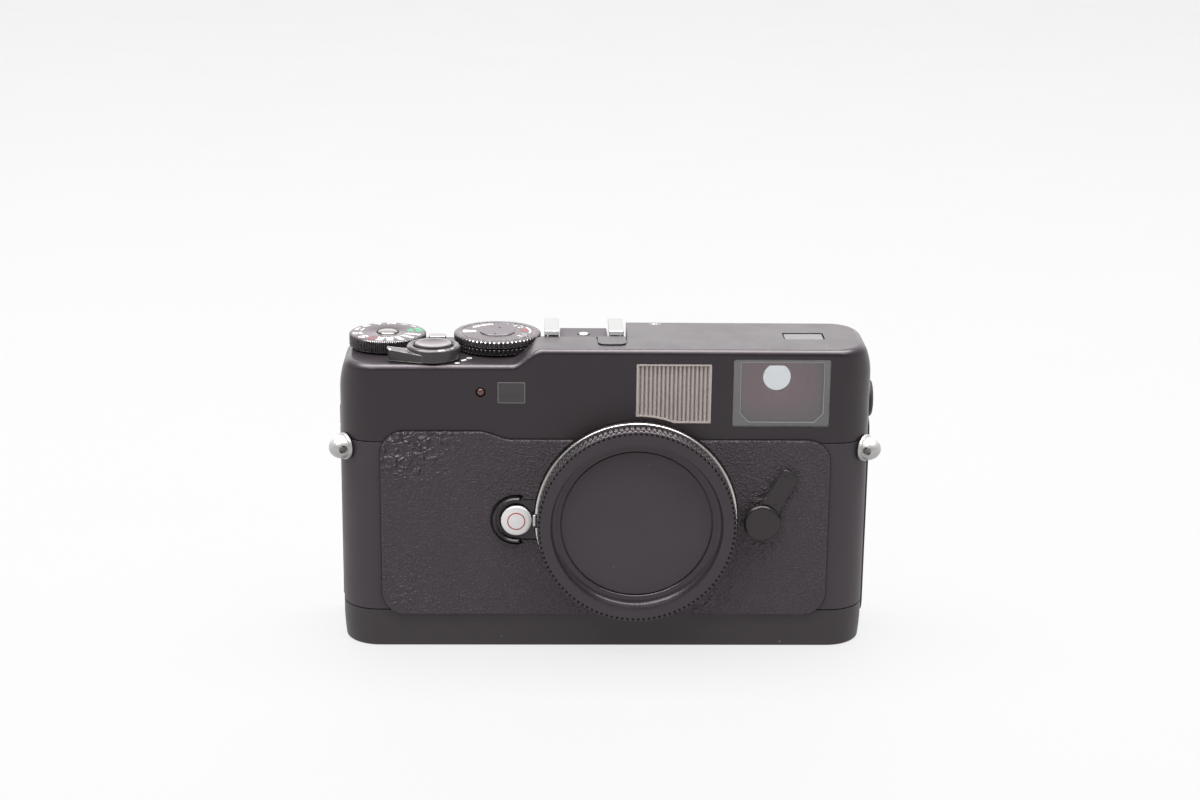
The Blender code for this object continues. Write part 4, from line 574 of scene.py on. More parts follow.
def makeFinish(name, look):
    # one Principled surface with the effects that its settings name
    material = bpy.data.materials.new(name)
    material.use_nodes = True
    tree = material.node_tree
    shader = tree.nodes["Principled BSDF"]
    for label, key, usual in (("Metallic", "metallic", 0.0), ("Specular IOR Level", "specular", 0.5),
                              ("Coat Weight", "coat", 0.0), ("Coat Roughness", "coatRoughness", 0.2),
                              ("Transmission Weight", "transmission", 0.0)):
        shader.inputs[label].default_value = look.get(key, usual)
    shader.inputs["IOR"].default_value = common["ior"]
    shader.inputs["Specular Tint"].default_value = (*look.get("shine", (1.0, 1.0, 1.0)), 1.0)
    grain = placeGroup(tree, fineGrain, {"Scale": look.get("grain", 4000.0)})
    colour = (*look["colour"], 1.0)
    tone = addMath(tree, "MULTIPLY", grain["Tone"], look.get("toneShare", 0.4))
    colour = addMix(tree, tone, colour, (*look.get("tone", [c * 1.25 for c in look["colour"]]), 1.0))
    rough = addMath(tree, "MULTIPLY", grain["Tone"], look.get("spread", 0.05))
    rough = addMath(tree, "ADD", look["roughness"], rough)
    if "smudge" in look:
        marks = placeGroup(tree, handMarks, {"Scale": common["smudgeScale"]})["Mask"]
        rough = addMath(tree, "ADD", rough, addMath(tree, "MULTIPLY", marks, look["smudge"]))
    if "wear" in look:
        worn = placeGroup(tree, rubbedEdges, {"Radius": look.get("wearRadius", 0.25) * mm,
                                              "Break": look.get("wearBreak", 900.0),
                                              "Cover": look.get("wearCover", 0.46)})["Mask"]
        worn = addMath(tree, "MULTIPLY", worn, look["wear"])
        colour = addMix(tree, worn, colour, (*look.get("worn", (0.35, 0.33, 0.31)), 1.0))
    if "dust" in look:
        specks = placeGroup(tree, dustSpecks, {"Scale": look.get("dustScale", 500.0),
                                               "Amount": look["dust"]})["Mask"]
        specks = addMath(tree, "MULTIPLY", specks, common["dustShare"])
        colour = addMix(tree, specks, colour, common["dustColour"])
    tree.links.new(colour, shader.inputs["Base Color"])
    tree.links.new(rough, shader.inputs["Roughness"])
    normal = addBump(tree, grain["Height"], look.get("bump", 0.1), look.get("bumpDepth", 0.02))
    if "hide" in look:
        height = placeGroup(tree, hideGrain, {"Scale": look["hide"],
                                              "Drift": look.get("drift", 0.3) * mm})["Height"]
        height = addMath(tree, "MULTIPLY", height, look["hideDepth"])
        if "rich" in look:
            # deeper, shinier grain where the cloth is not worn smooth
            rich = 0.0
            for centre, near, far, share in look["rich"]:
                patch = addMath(tree, "SUBTRACT", 1.0, addFade(tree, centre, near, far))
                rich = addMath(tree, "MAXIMUM", rich, addMath(tree, "MULTIPLY", patch, share))
            coarse = placeGroup(tree, hideGrain, {"Scale": look["richScale"],
                                                  "Drift": look["richDrift"] * mm})["Height"]
            depth = addMath(tree, "MULTIPLY", rich, look["richDepth"])
            height = addMath(tree, "ADD", height, addMath(tree, "MULTIPLY", coarse, depth))
            shine = addMath(tree, "SUBTRACT", rough, addMath(tree, "MULTIPLY", rich, look["richShine"]))
            tree.links.new(shine, shader.inputs["Roughness"])
        normal = addBump(tree, height, 1.0, 1.0, normal)
    if "spun" in look:
        lines = placeGroup(tree, spunLines, {"Centre": tuple(c * mm for c in look["spun"]),
                                             "Plane": look.get("spunPlane", (1.0, 1.0, 0.0)),
                                             "Pitch": look.get("spunPitch", 0.12) * mm})["Height"]
        normal = addBump(tree, lines, look.get("spunBump", 0.2), common["lineDepth"], normal)
    if "hair" in look:
        lines = placeGroup(tree, hairLines, {"Stretch": look["hair"]})["Height"]
        normal = addBump(tree, lines, look.get("hairBump", 0.15), common["lineDepth"], normal)
    tree.links.new(normal, shader.inputs["Normal"])
    if "glow" in look:
        # light of its own, from the first colour to the second with distance; on the finder pieces this is
        # painted light
        inner, outer, centre, near, far = look["glow"]
        light = addMix(tree, addFade(tree, centre, near, far), (*inner, 1.0), (*outer, 1.0))
        tree.links.new(light, shader.inputs["Emission Color"])
        shader.inputs["Emission Strength"].default_value = 1.0
    return material


# Finishes; lengths in millimetres
warmShine = (1.0, 0.87, 0.95)
paintLook = {"shine": warmShine, "grain": 5200.0, "bump": 0.14, "smudge": 0.05, "wear": 0.3,
             "wearRadius": 0.2, "worn": (0.24, 0.23, 0.21), "dust": 0.035, "dustScale": 420.0}
coverPaint = makeFinish("coverPaint", {
    **paintLook, "colour": (0.0098, 0.0076, 0.0091), "roughness": 0.36, "coat": 0.22, "smudge": 0.06,
    "wear": 0.25, "worn": (0.20, 0.19, 0.18)})
casingPaint = makeFinish("casingPaint", {**paintLook, "colour": (0.034, 0.0288, 0.0316), "roughness": 0.45})
basePaint = makeFinish("basePaint", {**paintLook, "colour": (0.027, 0.0248, 0.026), "roughness": 0.42})

leatherCloth = makeFinish("leatherCloth", {
    "shine": warmShine, "colour": (0.037, 0.031, 0.0352), "roughness": 0.46, "spread": 0.06, "grain": 7000.0,
    "bump": 0.5, "bumpDepth": 0.04, "hide": 1900.0, "hideDepth": 0.2, "drift": 0.25,
    "rich": (((-50.5, -15.25, 57.5), 7.0, 17.0, 1.0), ((42.0, -15.25, 39.5), 1.5, 8.0, 0.55),
             ((27.0, -15.25, 13.0), 2.0, 9.0, 0.45), ((41.0, -15.25, 27.0), 1.0, 6.5, 0.45),
             ((-54.0, -15.25, 14.0), 3.0, 17.0, 0.4)),  # centre, full within, none beyond, share
    "richDepth": 0.95, "richScale": 620.0, "richDrift": 0.9, "richShine": 0.26, "dust": 0.04, "smudge": 0.08})
backCloth = makeFinish("backCloth", {
    "shine": warmShine, "colour": (0.030, 0.027, 0.029), "roughness": 0.55, "spread": 0.06, "grain": 6000.0,
    "bump": 0.3, "hide": 1500.0, "hideDepth": 0.14, "dust": 0.03, "smudge": 0.05})

metalLook = {"shine": warmShine, "grain": 6500.0, "wearRadius": 0.2, "dust": 0.02}
anodised = makeFinish("anodised", {
    **metalLook, "colour": (0.028, 0.026, 0.0275), "roughness": 0.38, "metallic": 0.25, "bump": 0.12,
    "wear": 0.65, "wearBreak": 1400.0, "worn": (0.62, 0.60, 0.57)})
collarBlack = makeFinish("collarBlack", {
    **metalLook, "colour": (0.038, 0.035, 0.037), "roughness": 0.3, "metallic": 0.25, "coat": 0.25,
    "bump": 0.12, "wear": 1.0, "wearRadius": 0.4, "wearBreak": 600.0, "wearCover": 0.36,
    "worn": (0.70, 0.67, 0.64), "dust": 0.03})
buttonGloss = makeFinish("buttonGloss", {
    **metalLook, "colour": (0.045, 0.038, 0.038), "roughness": 0.14, "metallic": 0.35, "coat": 0.5,
    "coatRoughness": 0.08, "bump": 0.05, "wear": 0.6, "worn": (0.6, 0.57, 0.54), "smudge": 0.1})
turnedLook = {**metalLook, "colour": (0.036, 0.033, 0.0345), "roughness": 0.25, "metallic": 0.34,
              "bump": 0.06, "spunPitch": 0.1, "spunBump": 0.25, "wearBreak": 1200.0, "wearCover": 0.38,
              "worn": (0.66, 0.64, 0.61)}
dialBlack = makeFinish("dialBlack", {**turnedLook, "spun": tuple(dial), "wear": 0.3})
compensationBlack = makeFinish("compensationBlack", {**turnedLook, "spun": tuple(compensation), "wear": 0.95})
speedBlack = makeFinish("speedBlack", {
    **metalLook, "colour": (0.012, 0.011, 0.0115), "roughness": 0.42, "wear": 0.3, "wearBreak": 1200.0,
    "worn": (0.4, 0.38, 0.36)})
glossBlack = makeFinish("glossBlack", {
    "shine": warmShine, "colour": (0.016, 0.015, 0.0155), "roughness": 0.2, "grain": 5000.0, "bump": 0.05,
    "smudge": 0.1, "wear": 0.35, "worn": (0.4, 0.38, 0.35), "dust": 0.03})

mouldedBlack = makeFinish("mouldedBlack", {
    "shine": warmShine, "colour": (0.030, 0.0275, 0.029), "roughness": 0.50, "grain": 4200.0, "bump": 0.3,
    "bumpDepth": 0.025, "wear": 0.2, "wearRadius": 0.2, "worn": (0.22, 0.21, 0.20), "dust": 0.06,
    "dustScale": 480.0, "smudge": 0.05})
capBlack = makeFinish("capBlack", {
    "shine": warmShine, "colour": (0.026, 0.0225, 0.0245), "roughness": 0.22, "grain": 5200.0, "wear": 0.1,
    "wearRadius": 0.14, "wearBreak": 1500.0, "worn": (0.30, 0.28, 0.27), "dust": 0.05, "dustScale": 480.0,
    "smudge": 0.06})
capGrain = makeFinish("capGrain", {
    "shine": warmShine, "colour": (0.039, 0.0338, 0.0371), "roughness": 0.5, "grain": 3400.0, "bump": 0.6,
    "bumpDepth": 0.05, "dust": 0.05, "dustScale": 480.0, "smudge": 0.05})
flockBlack = makeFinish("flockBlack", {
    "colour": (0.010, 0.0095, 0.0098), "roughness": 0.85, "specular": 0.1, "grain": 1800.0, "bump": 0.03})

# painted light: a faint glow on the tunnel and the eyepiece stop stands for the lit haze inside the finder,
# which the clear glass keeps from the lamps
tunnelBlack = makeFinish("tunnelBlack", {
    "colour": (0.004, 0.0038, 0.0038), "roughness": 0.85, "specular": 0.05, "grain": 1800.0, "bump": 0.02,
    "glow": ((0.138, 0.092, 0.105), (0.086, 0.075, 0.079), (45.3, 9.0, 63.0), 4.0, 24.0)})
# painted highlight: a glowing light line stands for the lit inner edge of the finder mask
lineGrey = makeFinish("lineGrey", {
    "colour": (0.13, 0.14, 0.135), "roughness": 0.4, "grain": 5000.0,
    "glow": ((0.26, 0.25, 0.245), (0.165, 0.16, 0.155), (45.0, -14.0, 59.0), 6.0, 14.0)})
# painted light: the finder mask glows, brighter away from its middle, for the light that the glass keeps from
# it
maskGrey = makeFinish("maskGrey", {
    "colour": (0.012, 0.0135, 0.0128), "roughness": 0.6, "grain": 5000.0, "dust": 0.03,
    "glow": ((0.080, 0.075, 0.073), (0.118, 0.110, 0.106), (45.0, -14.0, 59.0), 6.0, 18.0)})
frameGrey = makeFinish("frameGrey", {
    "colour": (0.15, 0.142, 0.144), "roughness": 0.4, "grain": 5000.0, "dust": 0.03})

nickelLook = {"roughness": 0.24, "metallic": 1.0, "grain": 5000.0, "bump": 0.05, "toneShare": 0.3}
nickelBright = makeFinish("nickelBright", {
    **nickelLook, "colour": (0.60, 0.585, 0.565), "tone": (0.50, 0.485, 0.465),
    "hair": (900.0, 900.0, 16000.0), "hairBump": 0.12, "smudge": 0.12})
shoeNickel = makeFinish("shoeNickel", {
    **nickelLook, "colour": (0.385, 0.385, 0.38), "tone": (0.34, 0.34, 0.335), "roughness": 0.26,
    "hair": (900.0, 16000.0, 900.0), "hairBump": 0.1, "smudge": 0.1})
nickelSpun = makeFinish("nickelSpun", {
    **nickelLook, "colour": (0.74, 0.72, 0.69), "tone": (0.62, 0.60, 0.57), "spun": (lensX, 0.0, lensZ),
    "spunPlane": (1.0, 0.0, 1.0), "spunPitch": 0.1, "spunBump": 0.15, "smudge": 0.1})
lockNickel = makeFinish("lockNickel", {
    **nickelLook, "colour": (0.29, 0.28, 0.27), "toneShare": 0.4, "roughness": 0.18, "spun": tuple(dial),
    "spunPitch": 0.15, "spunBump": 0.1, "smudge": 0.08})
wornNickel = makeFinish("wornNickel", {
    **nickelLook, "colour": (0.64, 0.62, 0.60), "tone": (0.30, 0.29, 0.28), "toneShare": 0.8,
    "roughness": 0.3, "bump": 0.1})
silverLook = {"roughness": 0.3, "metallic": 0.3, "grain": 5000.0, "bump": 0.06, "smudge": 0.06,
              "toneShare": 0.2}
satinSilver = makeFinish("satinSilver", {
    **silverLook, "colour": (0.74, 0.72, 0.72), "tone": (0.64, 0.62, 0.62)})
# painted light: the rails' front ends get this paler, less metallic silver than the shoe's nickel so that
# they look as lit as the rail tops
railSilver = makeFinish("railSilver", {
    **silverLook, "colour": (0.86, 0.85, 0.845), "tone": (0.78, 0.77, 0.765)})
lugSilver = makeFinish("lugSilver", {
    **silverLook, "colour": (0.46, 0.45, 0.44), "tone": (0.38, 0.37, 0.36), "toneShare": 0.4,
    "roughness": 0.28, "metallic": 0.5, "smudge": 0.1})
castAlloy = makeFinish("castAlloy", {
    "colour": (0.24, 0.24, 0.25), "roughness": 0.5, "metallic": 0.9, "grain": 3200.0, "bump": 0.35,
    "bumpDepth": 0.03, "smudge": 0.1})

glassLook = {"toneShare": 0.0, "roughness": 0.01, "spread": 0.005, "transmission": 1.0, "grain": 900.0,
             "bump": 0.01}
clearGlass = makeFinish("clearGlass", {
    **glassLook, "colour": (0.93, 0.95, 0.95), "roughness": 0.015, "spread": 0.01, "smudge": 0.03})
finderGlass = makeFinish("finderGlass", {**glassLook, "colour": (0.86, 0.88, 0.885), "smudge": 0.01})
smokedGlass = makeFinish("smokedGlass", {
    **glassLook, "colour": (0.15, 0.13, 0.14), "roughness": 0.03, "spread": 0.01, "transmission": 0.8,
    "smudge": 0.04})
eyeGlassTint = makeFinish("eyeGlassTint", {**glassLook, "colour": (0.757, 0.775, 0.793), "smudge": 0.02})
frostedSheet = makeFinish("frostedSheet", {
    "colour": (0.415, 0.368, 0.348), "tone": (0.48, 0.426, 0.40), "roughness": 0.2, "spread": 0.08,
    "grain": 3000.0, "bump": 0.15, "smudge": 0.1})
mirrorGlass = makeFinish("mirrorGlass", {
    "colour": (0.80, 0.81, 0.82), "roughness": 0.03, "metallic": 1.0, "grain": 4000.0, "bump": 0.01,
    "smudge": 0.04})

lampRed = makeFinish("lampRed", {
    "colour": (0.085, 0.034, 0.029), "roughness": 0.2, "grain": 5000.0, "bump": 0.05, "coat": 0.6,
    "smudge": 0.05})
boardGreen = makeFinish("boardGreen", {
    "colour": (0.02, 0.13, 0.06), "roughness": 0.38, "grain": 2500.0, "coat": 0.3, "dust": 0.05})
cellGrey = makeFinish("cellGrey", {
    "colour": (0.36, 0.37, 0.39), "roughness": 0.3, "metallic": 0.8, "grain": 4000.0, "bump": 0.08,
    "hair": (9000.0, 9000.0, 300.0), "smudge": 0.1})
inkWhite = makeFinish("inkWhite", {
    "colour": (0.42, 0.415, 0.40), "tone": (0.34, 0.335, 0.32), "roughness": 0.5, "grain": 7000.0})
inkRed = makeFinish("inkRed", {"colour": (0.36, 0.025, 0.02), "roughness": 0.45, "grain": 7000.0})
inkDeepRed = makeFinish("inkDeepRed", {"colour": (0.15, 0.02, 0.026), "roughness": 0.45, "grain": 7000.0})
inkGreen = makeFinish("inkGreen", {"colour": (0.05, 0.25, 0.13), "roughness": 0.45, "grain": 7000.0})
print("finishes ready:", len(bpy.data.materials))


# Body shells, and the sizes that their openings share with other pieces
shell = {"frontCorner": 9.5, "backCorner": 8.0, "wall": 1.2, "floor": 1.5, "fillet": 1.3, "endFillet": 0.4,
         "endFilletFrom": 48.0, "endFilletLength": 18.0, "baseFillet": 0.5, "endHeight": 8.0, "endDeck": 1.6,
         "endPlateau": 1.9, "endBase": 0.5, "rampFoot": -23.8, "rampLength": 7.8, "cornerSteps": 16,
         "filletSteps": 8, "buttonHole": 2.6}
recess = {"right": 5.5, "front": -1.4, "turn": 1.8}  # for the shoe
finder = {"x": (31.5, 55.75), "z": (58.75, 76.2), "corner": 0.7, "maskSides": (2.0, 1.6),
          "maskEnds": (1.2, 0.9), "slant": 2.2, "line": 0.15, "wayStart": 4.2, "wayEnd": 1.75,
          "wayTops": (68.4, 67.3), "wayLean": (-0.106, 0.296)}
illuminator = {"x": (7.35, 26.15), "sill": 59.63, "brow": 75.02, "margin": 0.82, "ribs": 18, "depth": 0.8}
rangeWindow = {"x": (-27.2, -20.1), "z": (64.6, 70.3), "corner": 0.35}
lamp = {"x": -31.3, "z": 67.55, "radius": 0.95, "dome": 0.6}
counter = {"x": (45.0, 55.4), "y": (-2.9, 3.3), "corner": 0.6}
eyepiece = {"x": 45.3, "z": 63.8, "hole": 3.7, "neck": 1.3, "radius": 7.0}
access = {"corner": 1.8}
mount = {"neck": 1.28, "flange": 1.7, "wall": 2.2, "claw": 1.6, "clawThick": 1.2, "clawHalf": 32.0,
         "edge": 0.3, "notch": 0.6, "screwRing": 23.1, "screwHole": 1.05, "screwDepth": 0.35,
         "screwTurns": (0.0, 90.0, 205.0, 315.0)}
# groove and notch size the painted shade lines beside the crescent and at its ends
guard = {"radius": 6.3, "wall": 1.2, "angle": 75.0, "pad": 0.45, "height": 1.2, "button": 3.85, "tab": 3.1,
         "tabRise": 0.3, "groove": 0.35, "notch": 7.0, "chamfer": 0.3}
leverLook = {"length": 15.0, "width": 4.5, "root": 4.3, "lean": 60.7, "stem": 1.5, "pin": 1.2, "corner": 1.2,
             "edge": 0.42, "crease": (5.6, 5.95), "creaseHalf": 3.0, "creaseDepth": 0.18, "dimple": 0.34,
             "dimplePlace": (13.5, 0.9)}
shaft = 1.9  # of both dials
neckRadius = mountRadius - mount["neck"]


def bodyOutline(inset):
    return roundedRect(-half + inset, half - inset, front + inset, back - inset, shell["frontCorner"] - inset,
                       shell["backCorner"] - inset, shell["cornerSteps"])


def roundEnds(bm, leftRim, rightRim, left, right):
    # the ends of a cover draw in towards its rim
    start = half - 1.5 * shell["frontCorner"]
    for vert in bm.verts:
        rim, amount = (leftRim, left) if vert.co.x < 0 else (rightRim, right)
        near = max(0.0, 1 - abs(rim - vert.co.z) / shell["endHeight"])
        share = max(0.0, (abs(vert.co.x) - start) / (half - start))
        vert.co.x -= math.copysign(amount * near * near * share, vert.co.x)
    return bm


def coverBlank():
    # lofted so that the rounded rim follows the ramp
    size = shell
    corner = size["cornerSteps"] + 1
    ramp = [size["rampFoot"] + size["rampLength"] * i / 28 for i in range(29)]
    last = len(ramp) - 1

    def topAt(x):
        share = min(1.0, max(0.0, (x - size["rampFoot"]) / size["rampLength"]))
        return deck + (plateau - deck) * easeShare(share)

    def pathAt(inset):
        path = bodyOutline(inset)
        return (path[:corner] + [(x, front + inset) for x in ramp] + path[corner:3 * corner]
                + [(x, back - inset) for x in reversed(ramp)] + path[3 * corner:])

    def rimRing(turn):
        # the rim is rounder towards the ends
        ring = []
        for (x, y), (u, v) in zip(pathAt(0.0), pathAt(1.0)):
            share = min(1.0, max(0.0, (abs(x) - size["endFilletFrom"]) / size["endFilletLength"]))
            radius = size["fillet"] + size["endFillet"] * easeShare(share)
            inset, drop = radius * (1 - math.cos(turn)), radius * (1 - math.sin(turn))
            ring.append((x + (u - x) * inset, y + (v - y) * inset, topAt(x) - drop))
        return ring

    rings = [[(x, y, seam) for x, y in pathAt(0.0)]]
    for share in (1.0, 0.85, 0.7, 0.56, 0.43, 0.32):
        rings.append([(x, y, topAt(x) - size["endHeight"] * share) for x, y in pathAt(0.0)])
    rings += [rimRing(math.pi / 2 * k / size["filletSteps"]) for k in range(size["filletSteps"] + 1)]
    bm = loftRings(rings)
    bm.faces.ensure_lookup_table()
    bm.verts.ensure_lookup_table()
    top = bm.verts[-len(rings[0]):]
    bm.faces.remove(bm.faces[-1])
    nearRow = top[corner:corner + last + 1]
    farRow = top[3 * corner + last + 1:3 * corner + 2 * last + 2][::-1]
    bm.faces.new(top[3 * corner + 2 * last + 1:] + top[:corner + 1])
    bm.faces.new(top[corner + last:3 * corner + last + 2])
    for i in range(last):
        bm.faces.new((nearRow[i], nearRow[i + 1], farRow[i + 1], farRow[i]))
    return roundEnds(bm, deck, plateau, size["endDeck"], size["endPlateau"])


def baseBlank():
    # the lower rim is rounded and its ends draw in
    size = shell
    rings = []
    for k in range(size["filletSteps"] + 1):
        turn = math.pi / 2 * k / size["filletSteps"]
        rings.append((size["baseFillet"] * (1 - math.sin(turn)), size["baseFillet"] * (1 - math.cos(turn))))
    levels = [size["endHeight"] * share for share in (0.1, 0.2, 0.32, 0.46, 0.62, 0.8)]
    rings += [(0.0, level) for level in levels if level < baseHigh.z] + [(0.0, baseHigh.z)]
    bm = loftRings([[(x, y, level) for x, y in bodyOutline(inset)] for inset, level in rings])
    return roundEnds(bm, 0.0, 0.0, size["endBase"], size["endBase"])


def lensHole(radius, low, high):
    return rodShape(*lensCentre, radius, low, high, "Y", 160)


def windowOutline(x, z, grow, corner):
    return roundedRect(x[0] - grow, x[1] + grow, z[0] - grow, z[1] + grow, corner, steps=6)


def illuminatorOutline(grow):
    left, right = illuminator["x"][0] - grow, illuminator["x"][1] + grow
    low, high = illuminator["sill"] - grow, illuminator["brow"] + grow
    radius = mountRadius + illuminator["margin"] - grow
    start = math.degrees(math.acos((left - lensX) / radius))
    end = math.degrees(math.asin((low - lensZ) / radius))
    return arcPoints(*lensCentre, radius, start, end, 24) + [(right, low), (right, high), (left, high)]


def accessOutline(grow):
    low, high = span("access_plate")
    return roundedRect(low.x - grow, high.x + grow, low.y - grow, high.y + grow, access["corner"] + grow,
                       gap + grow, 8)


def coverShape():
    wall, turn = shell["wall"], recess["turn"]
    left, right = shell["rampFoot"] - gap, recess["right"]
    outline = [(left, recess["front"]), (right, recess["front"])]
    outline += arcPoints(right + turn, back - turn, turn, 180, 90, 10)
    outline += [(right + turn, back + 2), (left, back + 2)]
    inside = bodyOutline(wall)
    leftRoom, rightRoom = -half + wall + shell["endDeck"], half - wall - shell["endPlateau"]
    lowRoom = commonShape(prismShape(inside, seam - 2, deck - wall),
                          boxShape((leftRoom, right + 2 * wall), (front, back), (seam - 4, deck)))
    highRoom = commonShape(prismShape(inside, seam - 2, plateau - wall),
                           boxShape((right + wall, rightRoom), (front, back), (seam - 4, plateau)))
    frontWall, backWall = (front - 2, front + wall + 2), (back - wall - 2, back + 2)
    deckWall = (deck - wall - 2, deck + 2)
    pocket = compensationRadius + gap
    panes = [windowOutline(look["x"], look["z"], 0.0, look["corner"]) for look in (finder, rangeWindow)]
    return cutShape(
        coverBlank(), prismShape(outline, deck, plateau + 2), lowRoom, highRoom,
        rodShape(compensation.x, compensation.y, pocket, deck, plateau + 2, steps=128),
        lensHole(neckRadius + gap, *frontWall), prismShape(panes[0], *frontWall, "Y"),
        prismShape(illuminatorOutline(0.0), *frontWall, "Y"), prismShape(panes[1], *frontWall, "Y"),
        rodShape(lamp["x"], lamp["z"], lamp["radius"] + gap, *frontWall, "Y", 40),
        rodShape(eyepiece["x"], eyepiece["z"], eyepiece["hole"] + eyepiece["neck"] + gap, *backWall, "Y"),
        rodShape(dial.x, dial.y, shaft + gap, *deckWall),
        rodShape(compensation.x, compensation.y, shaft + gap, *deckWall),
        rodShape(button.x, button.y, shell["buttonHole"], *deckWall),
        prismShape(accessOutline(gap), plateau - gap, plateau + 2),
        prismShape(windowOutline(counter["x"], counter["y"], 0.0, counter["corner"]), plateau - wall - 2,
                   plateau + 2))


def baseShape():
    cell, stud = middleOf("battery_cap"), middleOf("rewind_button")
    through = (-2, shell["floor"] + 2)
    return cutShape(
        baseBlank(), prismShape(bodyOutline(shell["wall"]), shell["floor"], baseHigh.z + 2),
        rodShape(cell.x, cell.y, span("battery_cap")[1].x - cell.x + gap, *through, steps=96),
        rodShape(lensX, 0.0, span("tripod_socket")[1].x - lensX + gap, *through),
        rodShape(stud.x, stud.y, span("rewind_button")[1].x - stud.x + gap, *through))


def casingShape():
    wall = shell["wall"]
    frontWall = (front - 2, front + wall + 2)
    beyond = boxShape((-2 * half, 2 * half), (casingHigh.y, casingHigh.y + half), (0, 2 * plateau))
    return cutShape(
        prismShape(bodyOutline(0.0), casingLow.z, casingHigh.z), beyond,
        prismShape(bodyOutline(wall), casingLow.z - 2, casingHigh.z + 2),
        lensHole(neckRadius + gap, *frontWall),
        rodShape(*releaseCentre, guard["button"] + gap, *frontWall, "Y"),
        rodShape(*leverCentre, leverLook["stem"] + gap, *frontWall, "Y"))


nodePiece("top_cover", "topCoverShell", coverShape(), coverPaint, sharp=24.0, bevel=0.1)
nodePiece("bottom_cover", "bottomCoverShell", baseShape(), basePaint, sharp=24.0, bevel=0.1)
nodePiece("front_casing", "frontCasingWrap", casingShape(), casingPaint, sharp=24.0, bevel=0.1)
print("body shells built")


# Front leather
panel = {"margin": 10.35, "lap": 1.0, "step": 2.1, "stepInset": 34.85, "wave": 8.7, "corner": 6.0,
         "edge": 0.5, "line": 0.1}
skinFront, skinBack = span("leather_front")[0].y, span("leather_front")[1].y


def padOutline(grow):
    radius = guard["radius"] + grow
    high = guard["radius"] - guard["wall"] + grow
    neck = release.x + radius * math.cos(math.radians(guard["angle"]))
    reach = lensX - mountRadius + 2
    return (arcPoints(*releaseCentre, radius, guard["angle"], 360 - guard["angle"], 48)
            + [(neck, release.z - high), (reach, release.z - high), (reach, release.z + high),
               (neck, release.z + high)])


def leatherShapes():
    left, right = -half + panel["margin"], half - panel["margin"]
    low, high = baseHigh.z - panel["lap"], casingHigh.z + panel["lap"]
    corner = panel["corner"]
    start = -half + panel["stepInset"]
    wave = [(start + panel["wave"] * i / 20, high + panel["step"] * (1 - easeShare(i / 20)))
            for i in range(21)]
    outline = (arcPoints(left + corner, low + corner, corner, 180, 270, 14)
               + arcPoints(right - corner, low + corner, corner, 270, 360, 14)
               + arcPoints(right - corner, high - corner, corner, 0, 90, 14) + wave[::-1]
               + arcPoints(left + corner, high + panel["step"] - corner, corner, 90, 180, 14))
    through = (skinFront - 2, skinBack + 2)

    def pierced(sheet):
        return cutShape(sheet, lensHole(mountRadius + gap, *through),
                        prismShape(padOutline(gap), *through, "Y"),
                        rodShape(*leverCentre, leverLook["stem"] + gap, *through, "Y"))

    sheet = pierced(softPrism(outline, skinFront, skinBack, "Y", panel["edge"], 0.05))
    # painted shade: a dark sheet round the leather, in the gap at its edge, stands for the shadow line there
    return sheet, pierced(prismShape(insetPath(outline, -panel["line"]), skinBack + 0.02, front - 0.02, "Y"))


leatherSheet, leatherSeat = leatherShapes()
nodePiece("leather_front", "frontLeather", leatherSheet, leatherCloth, sharp=30.0, bevel=0.08)
makePiece("leatherSeat", leatherSeat, "camera_body", flockBlack)
print("front leather laid")


# Lens mount, body cap and their release
cap = {"depth": 5.3, "tooth": 0.55, "teeth": 114, "rows": 3, "rim": 3.47, "cove": 2.45, "recess": 2.6,
       "sink": 0.45, "wall": 2.2, "tube": 3.0, "turnSteps": 1140, "coveTurn": 1.5, "lugSlack": 4.0,
       "blunt": 2.2, "ridge": 0.12}
flangeFace = ringLow.y
clawGaps = (30.0, 150.0, 270.0)
bayonet = neckRadius - mount["wall"]
clawRadius = bayonet - mount["claw"]
clawGapHalf = 60.0 - mount["clawHalf"]
capBack = flangeFace - gap
capFace = capBack - cap["depth"] + 0.02
capRadius = span("body_cap")[1].x - lensX


def sectorShape(inner, outer, middle, halfAngle, low, high):
    outline = bandOutline(lensCentre, inner, outer, middle - halfAngle, middle + halfAngle, 24)
    return prismShape(outline, low, high, "Y")


def mountShape():
    flangeBack, clawBack = flangeFace + mount["flange"], flangeFace + mount["clawThick"]
    profile = softPath([(clawRadius, flangeFace), (mountRadius, flangeFace), (mountRadius, flangeBack),
                        (neckRadius, flangeBack), (neckRadius, ringHigh.y), (bayonet, ringHigh.y),
                        (bayonet, clawBack), (clawRadius, clawBack)], mount["edge"], steps=3)
    ring = turnedShape(profile, lensCentre, "Y", 180)
    ahead = flangeFace - 2
    gaps = [sectorShape(clawRadius - 2, bayonet, middle, clawGapHalf, ahead, clawBack + 0.3)
            for middle in clawGaps]
    left = lensX - mountRadius
    notch = boxShape((left - 2, left + mount["notch"]), (ahead, flangeBack + 2),
                     around(release.z + guard["tabRise"], guard["tab"] + 2 * gap))
    screws = [rodShape(*roundPoint(lensCentre, mount["screwRing"], math.radians(turn)), mount["screwHole"],
                       ahead, flangeFace + mount["screwDepth"], "Y", 32) for turn in mount["screwTurns"]]
    return cutShape(ring, notch, *gaps, *screws)


def capKnurl(turn, radius, height):
    # three rows of small blunt pyramids round the rim, each row set off by half a tooth
    low, high = capFace, capBack - 0.3
    if not low <= height <= high or radius < capRadius - cap["tooth"]:
        return radius
    along = 0.5 + (height - low) / (high - low) * (cap["rows"] - 0.5)
    across = turn / math.tau * cap["teeth"] + 0.5 * (math.floor(min(along, cap["rows"] - 0.01)) % 2)
    u, v = 1 - abs(2 * (across % 1.0) - 1), 1 - abs(2 * (along % 1.0) - 1)
    return radius - cap["tooth"] * (1 - min(1.0, cap["blunt"] * min(u, v + cap["ridge"])))


